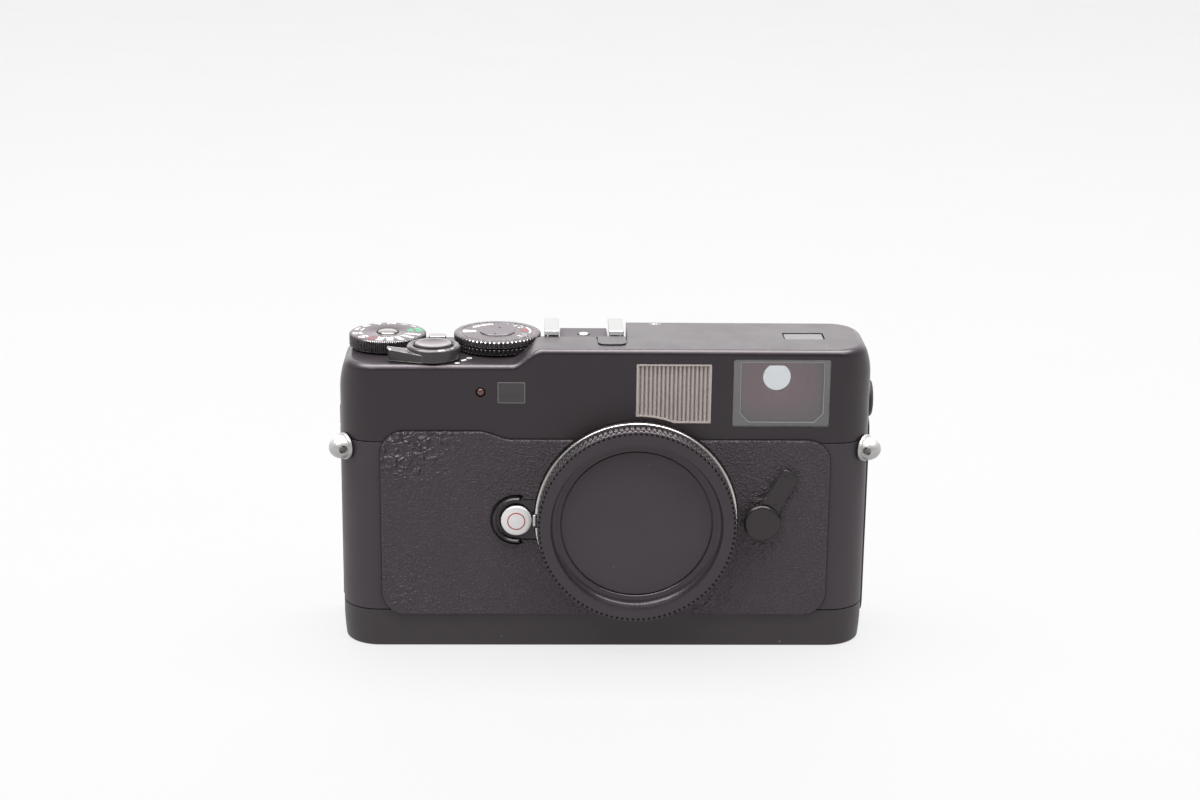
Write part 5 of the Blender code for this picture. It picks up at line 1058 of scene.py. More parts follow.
def capShapes():
    floor = capFace + cap["recess"]
    disc = floor + cap["sink"]
    opening = capRadius - cap["rim"]
    discRadius = opening - cap["cove"]
    tubeOut = clawRadius - gap
    tubeIn = tubeOut - cap["wall"]
    tubeEnd = flangeFace + cap["tube"]
    rows = [(capRadius, capBack - 0.3 - (cap["depth"] - 0.45) * i / 30) for i in range(31)]
    face = capRadius - cap["tooth"] - 0.05
    outside = ([(tubeIn, tubeEnd), (tubeOut - 0.2, tubeEnd), (tubeOut, tubeEnd - 0.2), (tubeOut, capBack),
                (face, capBack), (capRadius - 0.1, capBack - 0.2)] + rows
               + [(capRadius - 0.04, capFace + 0.06), (capRadius - 0.14, capFace), (face - 0.2, capFace)])
    cove = [(opening + 0.25, capFace), (opening + 0.08, capFace + 0.06), (opening, capFace + 0.25)]
    for k in range(9):
        turn = math.pi / 2 * k / 8
        cove.append((opening - cap["coveTurn"] * (1 - math.cos(turn)),
                     floor - cap["coveTurn"] * (1 - math.sin(turn))))
    inside = [(discRadius + 0.3, floor), (discRadius + 0.12, floor + 0.05), (discRadius, floor + 0.2),
              (discRadius - 0.02, disc + 0.4), (discRadius - 0.3, disc + 0.4),
              (discRadius - 0.32, disc + 0.06), (0.0, disc + 0.06)]
    hollow = [(0.0, disc + shell["wall"]), (tubeIn - 0.2, disc + shell["wall"]), (tubeIn, disc + 1.4)]
    shape = turnedShape(hollow + outside + cove + inside, lensCentre, "Y", cap["turnSteps"], capKnurl)
    lugs = [sectorShape(tubeOut - 0.4, bayonet - 2 * gap, middle, clawGapHalf - cap["lugSlack"],
                        flangeFace + mount["clawThick"] + 2 * gap, tubeEnd - 0.3) for middle in clawGaps]
    # grained disc in the recess
    edge = discRadius - 0.26
    plate = softPath([(0.0, disc), (edge, disc), (edge, disc + 0.3), (0.0, disc + 0.3)], 0.12, False, 3)
    # painted shade: a dark ring under the knurl and dark wedges between the teeth at the face's edge stand
    # for the shade in the knurl's hollows
    pit = capRadius - 0.6 * cap["tooth"]
    groove = boxProfile(pit - 0.6, pit, capFace + 0.03, capBack - 0.3)
    edge = boxProfile(capRadius - 0.8, capRadius - 0.3, capFace - 0.012, capFace + 0.5)
    pitShades = rimTips(lensCentre, edge, cap["teeth"], 0.5, "Y")
    return (mergeShapes(shape, *lugs), turnedShape(plate, lensCentre, "Y", 160),
            mergeShapes(turnedShape(groove, lensCentre, "Y", 160), pitShades))


def guardGrooves():
    # painted shade: flat dark lines beside the crescent, at its ends and round the button stand for the shade
    # in the gaps there
    face = skinBack - guard["pad"]
    inner, outer, start = guard["radius"] - guard["wall"], guard["radius"] - 0.03, guard["angle"] + 0.5
    end = guard["angle"] + guard["notch"]
    arcs = [(outer - guard["groove"], outer, start, 360 - start), (inner, outer, start, end),
            (inner, outer, 360 - end, 360 - start), (guard["button"] + gap, guard["button"] + 0.5, 60, 300)]
    return mergeShapes(*[prismShape(bandOutline(releaseCentre, *arc, 56), face - 0.02, face + 0.02, "Y")
                         for arc in arcs])


def guardShape():
    face = skinBack - guard["pad"]
    through = (face - guard["height"] - 2, skinBack + 2)
    # the crescent stops short of the pad's rim and of its ends, leaving room for the painted shade lines
    start = guard["angle"] + guard["notch"]
    band = bandOutline(releaseCentre, guard["radius"] - guard["wall"], guard["radius"] - guard["groove"],
                       start, 360 - start, 56)
    crescent = softPrism(band, face - guard["height"], face + guard["pad"] / 2, "Y",
                         guard["chamfer"], 0.02, 1)
    slot = boxShape((release.x + guard["button"], lensX), through,
                    around(release.z + guard["tabRise"], guard["tab"] + 2 * gap))
    return cutShape(joinShape(prismShape(padOutline(0.0), face, skinBack, "Y"), crescent),
                    rodShape(*releaseCentre, guard["button"] + gap, *through, "Y", 96), slot,
                    lensHole(mountRadius + gap, *through))


releaseLook = {"dome": 0.32, "side": 0.55, "pin": 1.35, "line": (2.0, 2.27), "lineDepth": 0.1}


def releaseShapes():
    low, high = span("lens_release_button")
    face, end = low.y, high.y
    seat = skinBack - guard["pad"] - gap
    rim, pin = guard["button"], releaseLook["pin"]

    def onFace(radius, lift=0.0):
        return radius, face + releaseLook["dome"] * (radius / rim) ** 2 + lift

    profile = [onFace(radius) for radius in (0.0, 0.6, 1.2, 1.7, 2.0, 2.3, 2.7, 3.1, 3.45)]
    profile += [onFace(rim - 0.15, 0.06), (rim, face + releaseLook["side"]), (rim, seat), (pin, seat),
                (pin, end), (0.0, end)]
    inner, outer = releaseLook["line"]
    line = [onFace(inner, -0.02), onFace(outer, -0.02), onFace(outer, releaseLook["lineDepth"]),
            onFace(inner, releaseLook["lineDepth"])]
    return turnedShape(profile, releaseCentre, "Y", 96), turnedShape(line, releaseCentre, "Y", 96)


nodePiece("mount_ring", "mountRing", mountShape(), nickelSpun, sharp=30.0)
capCup, capDisc, capGroove = capShapes()
nodePiece("body_cap", "bodyCap", capCup, capBlack, sharp=28.0)
makePiece("capDisc", capDisc, "body_cap", capGrain)
makePiece("capGroove", capGroove, "body_cap", flockBlack)
nodePiece("release_guard", "releaseGuard", guardShape(), glossBlack, sharp=30.0, bevel=0.06)
makePiece("guardGrooves", guardGrooves(), bodyOf["release_guard"], flockBlack)
releaseBody, releaseLine = releaseShapes()
nodePiece("lens_release_button", "lensReleaseButton", releaseBody, satinSilver)
makePiece("lensReleaseLine", releaseLine, "lens_release", inkRed)
refineNode("mount_lock_tab", "mountLockTab", nickelBright, bevel=0.3)
print("lens mount built")


# Frame lever
def leverShapes():
    low, high = span("frame_lever_arm")
    seat, face = high.y, low.y
    wide, tip = leverLook["width"] / 2, leverLook["length"]
    turn = math.radians(leverLook["lean"])

    def onArm(u, v):
        return (lever.x + u * math.cos(turn) - v * math.sin(turn),
                lever.z + u * math.sin(turn) + v * math.cos(turn))

    outline = arcPoints(0.0, 0.0, leverLook["root"], 40, 320, 40)
    bar = [outline[-1], (tip, -wide), (tip, wide), outline[0]]
    outline += softPath(bar, leverLook["corner"], False, 6)[1:-1]
    near, far = leverLook["crease"]
    across = leverLook["creaseHalf"]
    crease = [onArm(near, -across), onArm(far, -across), onArm(far, across), onArm(near, across)]
    hole = leverLook["dimple"]
    dimple = turnedShape([(0.0, face - 1.0), (hole, face - 1.0), (hole, face), (hole - 0.08, face + 0.14),
                          (0.0, face + 0.22)], onArm(*leverLook["dimplePlace"]), "Y", 24)
    arm = cutShape(softPrism([onArm(u, v) for u, v in outline], face, seat, "Y", leverLook["edge"], 0.1, 5),
                   rodShape(*leverCentre, leverLook["stem"], face - 2, seat + 2, "Y", 48),
                   prismShape(crease, face - 2, face + leverLook["creaseDepth"], "Y"), dimple)
    low, high = span("frame_lever_cap")
    rim, pin = (high.x - low.x) / 2, leverLook["pin"]
    seat = face - gap
    profile = softPath([(0.0, low.y), (rim - 0.5, low.y + 0.08), (rim, low.y + 0.55), (rim, seat),
                        (pin, seat), (pin, high.y), (0.0, high.y)], 0.3, False)
    return arm, turnedShape(profile, leverCentre, "Y", 96)


leverArm, leverCap = leverShapes()
nodePiece("frame_lever_arm", "frameLeverArm", leverArm, glossBlack, sharp=30.0)
nodePiece("frame_lever_cap", "frameLeverCap", leverCap, glossBlack)
print("frame lever built")


# Windows
def ribbedShape():
    low, high = span("illuminator_window")
    left, right = illuminator["x"]
    count = illuminator["ribs"] * 10
    ridges = []
    for i in range(count + 1):
        swell = 1 - abs(math.sin(math.pi * i / 10))
        ridges.append((left + (right - left) * i / count, low.y + illuminator["depth"] * swell))
    sheet = prismShape(ridges + [(right, high.y), (left, high.y)], seam, plateau)
    return commonShape(sheet, prismShape(illuminatorOutline(-0.5), low.y - 2, high.y + 2, "Y"))


def paneShape(node, corner, sink=0.0):
    low, high = span(node)
    grow = gap - 0.04
    outline = roundedRect(low.x - grow, high.x + grow, low.z - grow, high.z + grow, corner, steps=6)
    return softPrism(outline, front + sink, high.y, "Y", 0.14, 0.05)


def rimShape():
    # clear lip round the illuminator
    low, high = span("illuminator_window")
    rim = softPrism(illuminatorOutline(-0.03), front + 0.02, high.y, "Y", 0.12, 0.02)
    return cutShape(rim, prismShape(illuminatorOutline(-0.5), low.y - 2, high.y + 2, "Y"))


def frameShape(node, width, corner):
    # thin frame inside the edge of a pane
    low, high = span(node)
    outer = roundedRect(low.x - 0.2, high.x + 0.2, low.z - 0.2, high.z + 0.2, corner, steps=6)
    rim = softPrism(outer, front - 0.005, front + 0.3, "Y", 0.03, 0.02, 2)
    return cutShape(rim, prismShape(insetPath(outer, width), front - 1, front + 2, "Y"))


def maskShape():
    # frame behind the finder glass, with two cut corners
    x, z, slant = finder["x"], finder["z"], finder["slant"]
    outer = windowOutline(x, z, -0.2, 0.4)
    left, right = x[0] + finder["maskSides"][0], x[1] - finder["maskSides"][1]
    low, high = z[0] + finder["maskEnds"][0], z[1] - finder["maskEnds"][1]
    inner = [(left + slant, low), (right - slant, low), (right, low + slant), (right, high), (left, high),
             (left, low + slant)]
    depth = span("finder_window")[1].y + 0.08
    mask = cutShape(prismShape(outer, depth, depth + 0.12, "Y"), prismShape(inner, depth - 1, depth + 1, "Y"))
    # painted highlight: a thin light line round the mask's opening
    line = cutShape(prismShape(insetPath(inner, -finder["line"]), depth - 0.04, depth + 0.02, "Y"),
                    prismShape(inner, depth - 1, depth + 1, "Y"))
    return mask, line


def lampShape():
    low, high = span("status_lamp")
    radius = lamp["radius"]
    dome = [(reach, low.y + drop) for reach, drop in domeProfile(radius, lamp["dome"], 8)]
    return turnedShape(dome + [(radius, high.y), (0.0, high.y)], (lamp["x"], lamp["z"]), "Y", 40)


def counterShape():
    low, high = span("counter_window")
    return softPrism(roundedRect(low.x, high.x, low.y, high.y, 0.4, steps=5), low.z, high.z, "Z", 0.05, 0.12)


def bridgeShape():
    # a slanting way to the eyepiece, flat at the top
    end = span("finder_block")[1].y
    rings = []
    leanX, leanZ = finder["wayLean"]
    for depth, top in zip((end - finder["wayStart"], end + 1.0), finder["wayTops"]):
        run = end + finder["wayEnd"] - depth
        ring = circlePoints(eyepiece["x"] + leanX * run, eyepiece["z"] + leanZ * run,
                            eyepiece["hole"] + 0.12, 64)
        rings.append([(x, depth, min(z, top)) for x, z in ring])
    return cutShape(nodeShape("finder_block"), loftRings(rings))


def eyepieceShapes():
    low, high = span("eyepiece_ring")
    centre = (eyepiece["x"], eyepiece["z"])
    neck, bore = eyepiece["hole"] + eyepiece["neck"], eyepiece["hole"] + eyepiece["neck"] / 2
    seat = back + gap
    ring = softPath([(bore, low.y), (neck, low.y), (neck, seat), (eyepiece["radius"], seat),
                     (eyepiece["radius"], high.y), (bore + 0.9, high.y), (bore, high.y - 0.9)], 0.4, steps=4)
    low, high = span("eyepiece_lens")
    glass = bore - gap
    lens = [(glass * k / 10, low.y + 0.3 * (k / 10) ** 2) for k in range(11)]
    lens += [(glass * k / 10, high.y - 0.6 * (k / 10) ** 2) for k in range(10, -1, -1)]
    stop = softPath(boxProfile(eyepiece["hole"] - 0.1, bore + 0.1, seat - 0.4, seat - 0.15), 0.05, steps=2)
    return (turnedShape(ring, centre, "Y", 96), turnedShape(lens, centre, "Y", 64),
            turnedShape(stop, centre, "Y", 64))


nodePiece("finder_block", "finderBridge", bridgeShape(), tunnelBlack)
nodePiece("illuminator_window", "illuminatorSheet", ribbedShape(), frostedSheet, sharp=40.0)
makePiece("illuminatorRim", rimShape(), "camera_body", frostedSheet)
nodePiece("finder_window", "finderPane", paneShape("finder_window", 0.5), finderGlass)
finderMask, finderLine = maskShape()
makePiece("finderMask", finderMask, "camera_body", maskGrey)
makePiece("finderLine", finderLine, "camera_body", lineGrey)
nodePiece("rangefinder_window", "rangefinderPane", paneShape("rangefinder_window", 0.3), smokedGlass)
makePiece("rangefinderFrame", frameShape("rangefinder_window", 0.22, 0.35), "camera_body",
          frameGrey)
nodePiece("status_lamp", "statusLamp", lampShape(), lampRed)
nodePiece("counter_window", "counterPane", counterShape(), smokedGlass)
eyeRing, eyeGlass, eyeStop = eyepieceShapes()
nodePiece("eyepiece_ring", "eyepieceRing", eyeRing, mouldedBlack)
nodePiece("eyepiece_lens", "eyepieceLens", eyeGlass, eyeGlassTint)
makePiece("eyepieceStop", eyeStop, "camera_body", tunnelBlack)
print("windows built")


# Controls on the deck
dialLook = {"teeth": 120, "tooth": 0.34, "lock": 2.5, "lockDome": 0.55, "well": 2.1}
compensationLook = {"teeth": 60, "tooth": 0.42, "hub": 4.55, "hubRise": 0.25, "setback": 0.15, "pin": 0.4,
                    "pinPlace": (0.5, 2.9)}
collarLook = {"bore": 4.92, "radius": 6.75, "tab": 11.2, "tabRub": 0.52, "rub": 0.4, "rubInset": 0.42,
              "rubs": ((284, 297), (316, 326), (196, 206))}
buttonLook = {"stem": 2.3, "skirt": 1.4, "dish": 0.42, "dishShare": 0.86}
indexLook = {"corner": 0.6, "plate": 0.5}


def toothWave(rim, teeth, depth, low, high):
    # flat teeth with grooves between them, cut through the chamfer above
    flat = 0.35

    def waver(turn, radius, height):
        if not low < height < high or radius < rim - depth:
            return radius
        groove = max(0.0, abs(2 * ((turn / math.tau * teeth) % 1.0) - 1) - flat) / (1 - flat)
        return min(radius, rim - depth * groove)

    return waver


def dialShape():
    low, high = span("shutter_dial")
    radius = dialRadius
    seat, top = deck + gap, high.z
    well = top - dialLook["well"] - 0.3
    bore = dialLook["lock"] + gap
    side = [(radius, seat + 0.3 + (top - seat - 0.75) * i / 6) for i in range(7)]
    profile = ([(0.0, low.z), (shaft, low.z), (shaft, seat), (radius - 0.35, seat),
                (radius - 0.05, seat + 0.2)] + side
               + [(radius - 0.06, top - 0.36), (radius - 0.2, top - 0.16), (radius - 0.42, top - 0.04),
                  (radius - 0.7, top), (bore + 0.25, top), (bore + 0.08, top - 0.07), (bore, top - 0.25),
                  (bore, well), (0.0, well)])
    steps = dialLook["teeth"] * 6
    return turnedShape(profile, (dial.x, dial.y), "Z", steps,
                       toothWave(radius, dialLook["teeth"], dialLook["tooth"], seat + 0.25, top - 0.1))


def lockShape():
    low, high = span("dial_lock_button")
    radius = dialLook["lock"]
    dome = [(reach, high.z - drop) for reach, drop in reversed(domeProfile(radius, dialLook["lockDome"], 10))]
    return turnedShape([(0.0, low.z), (radius, low.z)] + dome, (dial.x, dial.y), "Z", 64)


def compensationShapes():
    low, high = span("film_speed_ring")
    radius, ringRadius = compensationRadius, compensationRadius - compensationLook["setback"]
    centre = (compensation.x, compensation.y)
    teeth, tooth = compensationLook["teeth"], compensationLook["tooth"]
    bore = shaft + gap
    side = [(ringRadius, low.z + 0.35 + (high.z - low.z - 0.6) * i / 4) for i in range(5)]
    ring = ([(bore, low.z), (ringRadius - 0.4, low.z), (ringRadius - 0.1, low.z + 0.2)] + side
            + [(ringRadius - 0.1, high.z - 0.1), (ringRadius - 0.4, high.z), (bore, high.z)])
    ring = turnedShape(ring, centre, "Z", teeth * 8,
                       toothWave(ringRadius, teeth, tooth, low.z + 0.3, high.z - 0.05))
    low, top = span("compensation_dial")
    seat = high.z + gap
    face = top.z - compensationLook["hubRise"]
    hub = compensationLook["hub"]
    side = [(radius, seat + 0.2 + (face - seat - 0.6) * i / 4) for i in range(5)]
    disc = ([(0.0, low.z), (shaft, low.z), (shaft, seat), (radius - 0.3, seat),
             (radius - 0.05, seat + 0.12)] + side
            + [(radius - 0.1, face - 0.25), (radius - 0.35, face - 0.06), (radius - 0.7, face),
               (radius - 1.5, face), (radius - 1.6, face - 0.16), (radius - 1.95, face - 0.16),
               (radius - 2.05, face), (hub + 0.22, face), (hub + 0.12, face - 0.18), (hub, face - 0.18),
               (hub - 0.02, top.z - 0.14), (hub - 0.2, top.z), (0.0, top.z)])
    disc = turnedShape(disc, centre, "Z", teeth * 8, toothWave(radius, teeth, tooth, seat + 0.1, face - 0.1))
    across, along = compensationLook["pinPlace"]
    holes = [rodShape(centre[0] + side * across, centre[1] + side * along, compensationLook["pin"],
                      top.z - 0.4, top.z + 1, steps=24) for side in (-1, 1)]
    return ring, cutShape(disc, *holes)


def tabShape(low, high):
    x, y, bore, rim = button.x, button.y, collarLook["bore"], collarLook["radius"]
    tip = x - collarLook["tab"]
    outline = [(x - bore - 0.4, y - 0.2 * bore), (tip + 0.4, y - 0.28 * rim), (tip, y - 0.37 * rim),
               (tip + 0.3, y - 0.58 * rim), (x - 0.33 * rim, y - 0.95 * rim),
               (x - 0.4 * bore, y - bore - 0.4), (x - 0.85 * bore, y - 0.72 * bore)]
    shares = (0.7, 0.95, 0.95, 0.88, 0.57, 0.57, 0.63)
    points = [(u, v, low + (high - low) * share) for (u, v), share in zip(outline, shares)]
    path = softPath([Vector(point) for point in points], 0.7, steps=3)
    shape = loftRings([[(u, v, low) for u, v, _ in path], path])
    bmesh.ops.triangulate(shape, faces=[face for face in shape.faces if len(face.verts) > 4])
    return shape, path


def collarShape():
    low, high = span("switch_collar")
    bore, rim = collarLook["bore"], collarLook["radius"]
    profile = softPath([(bore, low.z), (rim, low.z), (rim, high.z - 0.5), (rim - 0.5, high.z),
                        (bore + 0.5, high.z), (bore, high.z - 0.6)], 0.25, steps=3)
    tab, edge = tabShape(low.z, high.z)
    edge = [Vector(point) for point in edge]
    tip = min(range(len(edge)), key=lambda i: edge[i].x)
    count = len(edge)
    worn = [edgeBar([edge[(tip + i) % count] for i in range(-3, 6)], collarLook["tabRub"])]
    for start, end in collarLook["rubs"]:
        points = arcPoints(button.x, button.y, rim - collarLook["rubInset"], start, end, 6)
        worn.append(edgeBar([Vector((x, y, high.z - 0.16)) for x, y in points], collarLook["rub"]))
    return joinShape(turnedShape(profile, (button.x, button.y), "Z", 128), tab), mergeShapes(*worn)


def buttonShape():
    low, high = span("shutter_button")
    rim, stem = high.x - button.x, buttonLook["stem"]
    foot = high.z - buttonLook["skirt"]
    dish = [(rim * buttonLook["dishShare"] * k / 12, high.z - buttonLook["dish"] * (1 - (k / 12) ** 2))
            for k in range(12, -1, -1)]
    profile = [(0.0, low.z), (stem, low.z), (stem, foot), (rim, foot), (rim, high.z - 0.3),
               (rim - 0.1, high.z - 0.1), (rim - 0.3, high.z - 0.01)] + dish
    return turnedShape(profile, (button.x, button.y), "Z", 96)


def indexShape():
    low, high = span("index_block")
    outline = roundedRect(low.x, high.x, low.y, high.y, indexLook["corner"], steps=6)
    step = high.z - indexLook["plate"]
    return (softPrism(outline, low.z, step, "Z", 0.05, 0.05, 2),
            softPrism(outline, step, high.z, "Z", 0.02, 0.2, 4))


nodePiece("shutter_dial", "shutterDial", dialShape(), dialBlack, sharp=28.0)
nodePiece("dial_lock_button", "dialLockButton", lockShape(), lockNickel)
speedRing, compensationDisc = compensationShapes()
nodePiece("film_speed_ring", "filmSpeedRing", speedRing, speedBlack, sharp=28.0)
nodePiece("compensation_dial", "compensationDial", compensationDisc, compensationBlack, sharp=28.0)
collarBody, collarWorn = collarShape()
nodePiece("switch_collar", "switchCollar", collarBody, collarBlack, sharp=30.0, bevel=0.04)
makePiece("collarWorn", collarWorn, bodyOf["switch_collar"], wornNickel)
nodePiece("shutter_button", "shutterButton", buttonShape(), buttonGloss)
# bright tips of the worn teeth: node, radius, drop of its face, teeth, slope and finish
tips = {"dialTips": ("shutter_dial", dialRadius, 0.0, dialLook["teeth"], (0.3, 0.03, 0.34, 0.06), wornNickel),
        "compensationTips": ("compensation_dial", compensationRadius, compensationLook["hubRise"],
                             compensationLook["teeth"], (0.36, 0.02, 0.29, 0.02), wornNickel),
        "speedTips": ("film_speed_ring", compensationRadius - compensationLook["setback"], 0.0,
                      compensationLook["teeth"], (0.04, -0.1, 0.2, 0.06), castAlloy)}
for name, (node, rim, drop, teeth, (inner, outer, low, high), finish) in tips.items():
    middle, top = middleOf(node), span(node)[1].z - drop
    slope = [(rim - inner, top - low), (rim - outer, top - low), (rim - inner, top - high)]
    makePiece(name, rimTips((middle.x, middle.y), slope, teeth, 0.16, start=0.5), bodyOf[node],
              finish)
indexBase, indexPlate = indexShape()
nodePiece("index_block", "indexBlock", indexBase, collarBlack)
makePiece("indexPlate", indexPlate, bodyOf["index_block"], lockNickel)
print("deck controls built")


# Accessory shoe and its plates
shoe = {"slot": 18.7, "opening": 12.6, "slotHeight": 2.2, "base": 1.6, "contact": 1.3, "contactCorner": 0.6}


def shoeShape():
    low, high = span("accessory_shoe")
    middle = (low.x + high.x) / 2
    floor = low.z + shoe["base"]
    under = floor + shoe["slotHeight"]
    inner, opening, outer = shoe["slot"] / 2, shoe["opening"] / 2, (high.x - low.x) / 2
    right = [(outer, low.z), (outer, high.z), (opening, high.z), (opening, under), (inner, under),
             (inner, floor)]
    outline = [(middle + u, z) for u, z in right] + [(middle - u, z) for u, z in reversed(right)]
    return softPrism(softPath(outline, 0.25, steps=3), low.y, high.y, "Y", 0.12, 0.12)


def railEnds():
    low, high = span("accessory_shoe")
    middle, outer, opening = (low.x + high.x) / 2, (high.x - low.x) / 2, shoe["opening"] / 2
    under = low.z + shoe["base"] + shoe["slotHeight"]
    ends, shadeStrips = [], []
    for side in (-1, 1):
        near, far = middle + side * (opening + 0.1), middle + side * (outer - 0.12)
        top = high.z - 0.1
        face = softPath([(far, under), (far, top), (near, top), (near, under)], 0.15, steps=2)
        ends.append(softPrism(face, low.y - 0.03, low.y + 0.1, "Y", 0.02, 0.02, 1))
        # painted shade: a dark strip below each rail's front end stands for the shadow in the gap under it
        wall = middle + side * (shoe["slot"] / 2 - 0.3)
        shadeStrips.append(boxShape(sorted((near, wall)), (low.y - 0.02, low.y + 0.1), (under - 0.8, under - 0.03)))
    return mergeShapes(*ends), mergeShapes(*shadeStrips)


def contactShapes():
    low, high = span("shoe_contact_plate")
    middle = (low + high) / 2
    outline = roundedRect(low.x, high.x, low.y, high.y, shoe["contactCorner"], steps=5)
    plate = cutShape(softPrism(outline, low.z, high.z, "Z", 0.03, 0.1),
                     rodShape(middle.x, middle.y, shoe["contact"] + gap, low.z - 1, high.z + 1, steps=48))
    low, high = span("shoe_contact")
    radius = shoe["contact"]
    profile = softPath([(0.0, low.z), (radius, low.z), (radius, high.z - 0.15), (radius - 0.3, high.z),
                        (0.0, high.z)], 0.15, False)
    return plate, turnedShape(profile, (middle.x, middle.y), "Z", 48)


nodePiece("accessory_shoe", "accessoryShoe", shoeShape(), shoeNickel)
railFronts, railSlots = railEnds()
# painted light: the rail fronts take a paler silver than the shoe so they look as lit as the tops
makePiece("railEnds", railFronts, bodyOf["accessory_shoe"], railSilver)
makePiece("railSlots", railSlots, bodyOf["accessory_shoe"], flockBlack)
contactPlate, contactStud = contactShapes()
nodePiece("shoe_contact_plate", "shoeContactPlate", contactPlate, mouldedBlack, bevel=0.05)
nodePiece("shoe_contact", "shoeContact", contactStud, nickelBright)
plateLow, plateHigh = span("access_plate")
accessBody = softPrism(accessOutline(0.0), plateLow.z, plateHigh.z, "Z", 0.02, 0.15)
nodePiece("access_plate", "accessPlate", accessBody, coverPaint)
print("accessory shoe built")


# Strap lugs, sync socket and base fittings
lug = {"angle": 55.0, "drop": 2.4, "radius": 3.4, "flange": 0.8, "height": 4.42, "shoulder": 0.35,
       "hole": 1.1, "liningHalf": 2.1}
lugSeat = shell["frontCorner"] + gap
lugTop = lugSeat + lug["flange"]
lugHole = lugTop + 1.2 * lug["hole"]
syncLook = {"y": 2.0, "rise": 7.1, "radius": 4.9, "bore": 2.5, "sleeve": (1.5, 2.0), "pin": 0.5}
tripod = {"bore": 3.1, "threads": 10, "pitch": 0.6, "depth": 0.3, "floor": 1.2}


def lugPlace(shape, side):
    turn = Matrix.Rotation(math.radians(side * lug["angle"] - 90), 4, "Z")
    spot = Matrix.Translation((side * (half - shell["frontCorner"]), front + shell["frontCorner"],
                               seam - lug["drop"]))
    return turnShape(shape, spot @ turn)


def lugShape(side):
    radius = lug["radius"]
    profile = [(0.0, lugSeat), (radius, lugSeat), (radius, lugTop - 0.3), (radius - 0.08, lugTop - 0.1),
               (radius - 0.3, lugTop)]
    dome = domeProfile(radius - lug["shoulder"], lug["height"] - lug["flange"], 16)
    profile += [(reach, lugSeat + lug["height"] - drop) for reach, drop in reversed(dome)]
    stud = turnedShape(profile, (0.0, 0.0), "X", 72)
    return lugPlace(cutShape(stud, rodShape(lugHole, 0.0, lug["hole"], -radius, radius, "Y", 40)), side)


def holeShadeShape(side):
    # painted shade: a darker metal lining inside the strap hole stands for the shade in the hole
    wall = boxProfile(lug["hole"] - 0.14, lug["hole"] + 0.05, -lug["liningHalf"], lug["liningHalf"])
    return lugPlace(turnedShape(wall, (lugHole, 0.0), "Y", 40), side)


def syncShapes():
    low, high = span("sync_socket")
    rim, bore = syncLook["radius"], syncLook["bore"]
    centre = (syncLook["y"], seam + syncLook["rise"])
    floor = low.x + 0.4
    profile = softPath([(0.0, low.x), (rim, low.x), (rim, high.x - 0.6), (rim - 0.6, high.x), (bore, high.x),
                        (bore, floor), (0.0, floor)], 0.3, False)
    socket = turnedShape(profile, centre, "X", 72)
    sleeve = softPath(boxProfile(*syncLook["sleeve"], floor - 0.1, high.x - 0.15), 0.1)
    pin = softPath([(0.0, floor - 0.1), (syncLook["pin"], floor - 0.1), (syncLook["pin"], high.x - 0.3),
                    (0.0, high.x - 0.2)], 0.15, False)
    return socket, mergeShapes(turnedShape(sleeve, centre, "X", 48), turnedShape(pin, centre, "X", 24))


def tripodShape():
    low, high = span("tripod_socket")
    rim, bore, pitch = high.x - lensX, tripod["bore"], tripod["pitch"]
    floor = high.z - tripod["floor"]
    profile = [(0.0, high.z), (rim, high.z), (rim, low.z + 0.3), (rim - 0.3, low.z), (bore + 0.35, low.z)]
    for i in range(tripod["threads"]):
        level = low.z + pitch + i * pitch
        profile += [(bore, level), (bore + tripod["depth"], level + pitch / 2)]
    return turnedShape(profile + [(bore, floor), (0.0, floor)], (lensX, 0.0), "Z", 72)


for lugName, side in (("left", -1), ("right", 1)):
    nodePiece("strap_lug_" + lugName, lugName + "StrapLug", lugShape(side), lugSilver, bevel=0.12)
    makePiece(lugName + "LugLining", holeShadeShape(side), bodyOf["strap_lug_" + lugName], lockNickel)
syncRing, syncPin = syncShapes()
nodePiece("sync_socket", "syncSocket", syncRing, mouldedBlack)
makePiece("syncContacts", syncPin, "camera_body", nickelBright)
nodePiece("tripod_socket", "tripodSocket", tripodShape(), nickelBright)
print("fittings built")


# The other CAD parts, joined up and eased
slotFinish = {"black_paint": coverPaint, "black_metal": anodised, "black_plastic": mouldedBlack,
              "leatherette": backCloth, "nickel": nickelBright, "cast_alloy": castAlloy,
              "clear_glass": clearGlass, "frosted": frostedSheet, "lamp_red": lampRed,
              "board_green": boardGreen, "cell_grey": cellGrey, "mirror": mirrorGlass}
for node in sorted(frame["nodes"]):
    if node not in replaced:
        words = node.split("_")
        name = words[0] + "".join(word.capitalize() for word in words[1:]) + "Body"
        refineNode(node, name, slotFinish[slotOf[node]])
print("other parts refined")


# Printed marks
def numberShape(text, size, x, y, z, turn, side="CENTER", bold=0.06, lift=0.03):
    curve = bpy.data.curves.new("mark", "FONT")
    curve.body = text
    curve.size = size
    curve.align_x = side
    curve.align_y = "CENTER"
    curve.offset = bold
    curve.extrude = lift / 2
    curve.resolution_u = 4
    holder = bpy.data.objects.new("mark", curve)
    scene.collection.objects.link(holder)
    bpy.context.view_layer.update()
    shaped = holder.evaluated_get(bpy.context.evaluated_depsgraph_get())
    mesh = bpy.data.meshes.new_from_object(shaped)
    bm = bmesh.new()
    bm.from_mesh(mesh)
    bpy.data.objects.remove(holder, do_unlink=True)
    bpy.data.curves.remove(curve)
    bpy.data.meshes.remove(mesh)
    return turnShape(bm, Matrix.Translation((x, y, z)) @ Matrix.Rotation(turn, 4, "Z"))


def arcMark(centre, inner, outer, start, end, low, high, steps=24):
    return prismShape(bandOutline(centre, inner, outer, start, end, steps), low, high)


def radialNumber(text, size, centre, reach, degrees, z):
    # a number that runs outwards and ends at the given radius
    turn = math.radians(degrees)
    return numberShape(text, size, *roundPoint(centre, reach, turn), z, turn, "RIGHT")


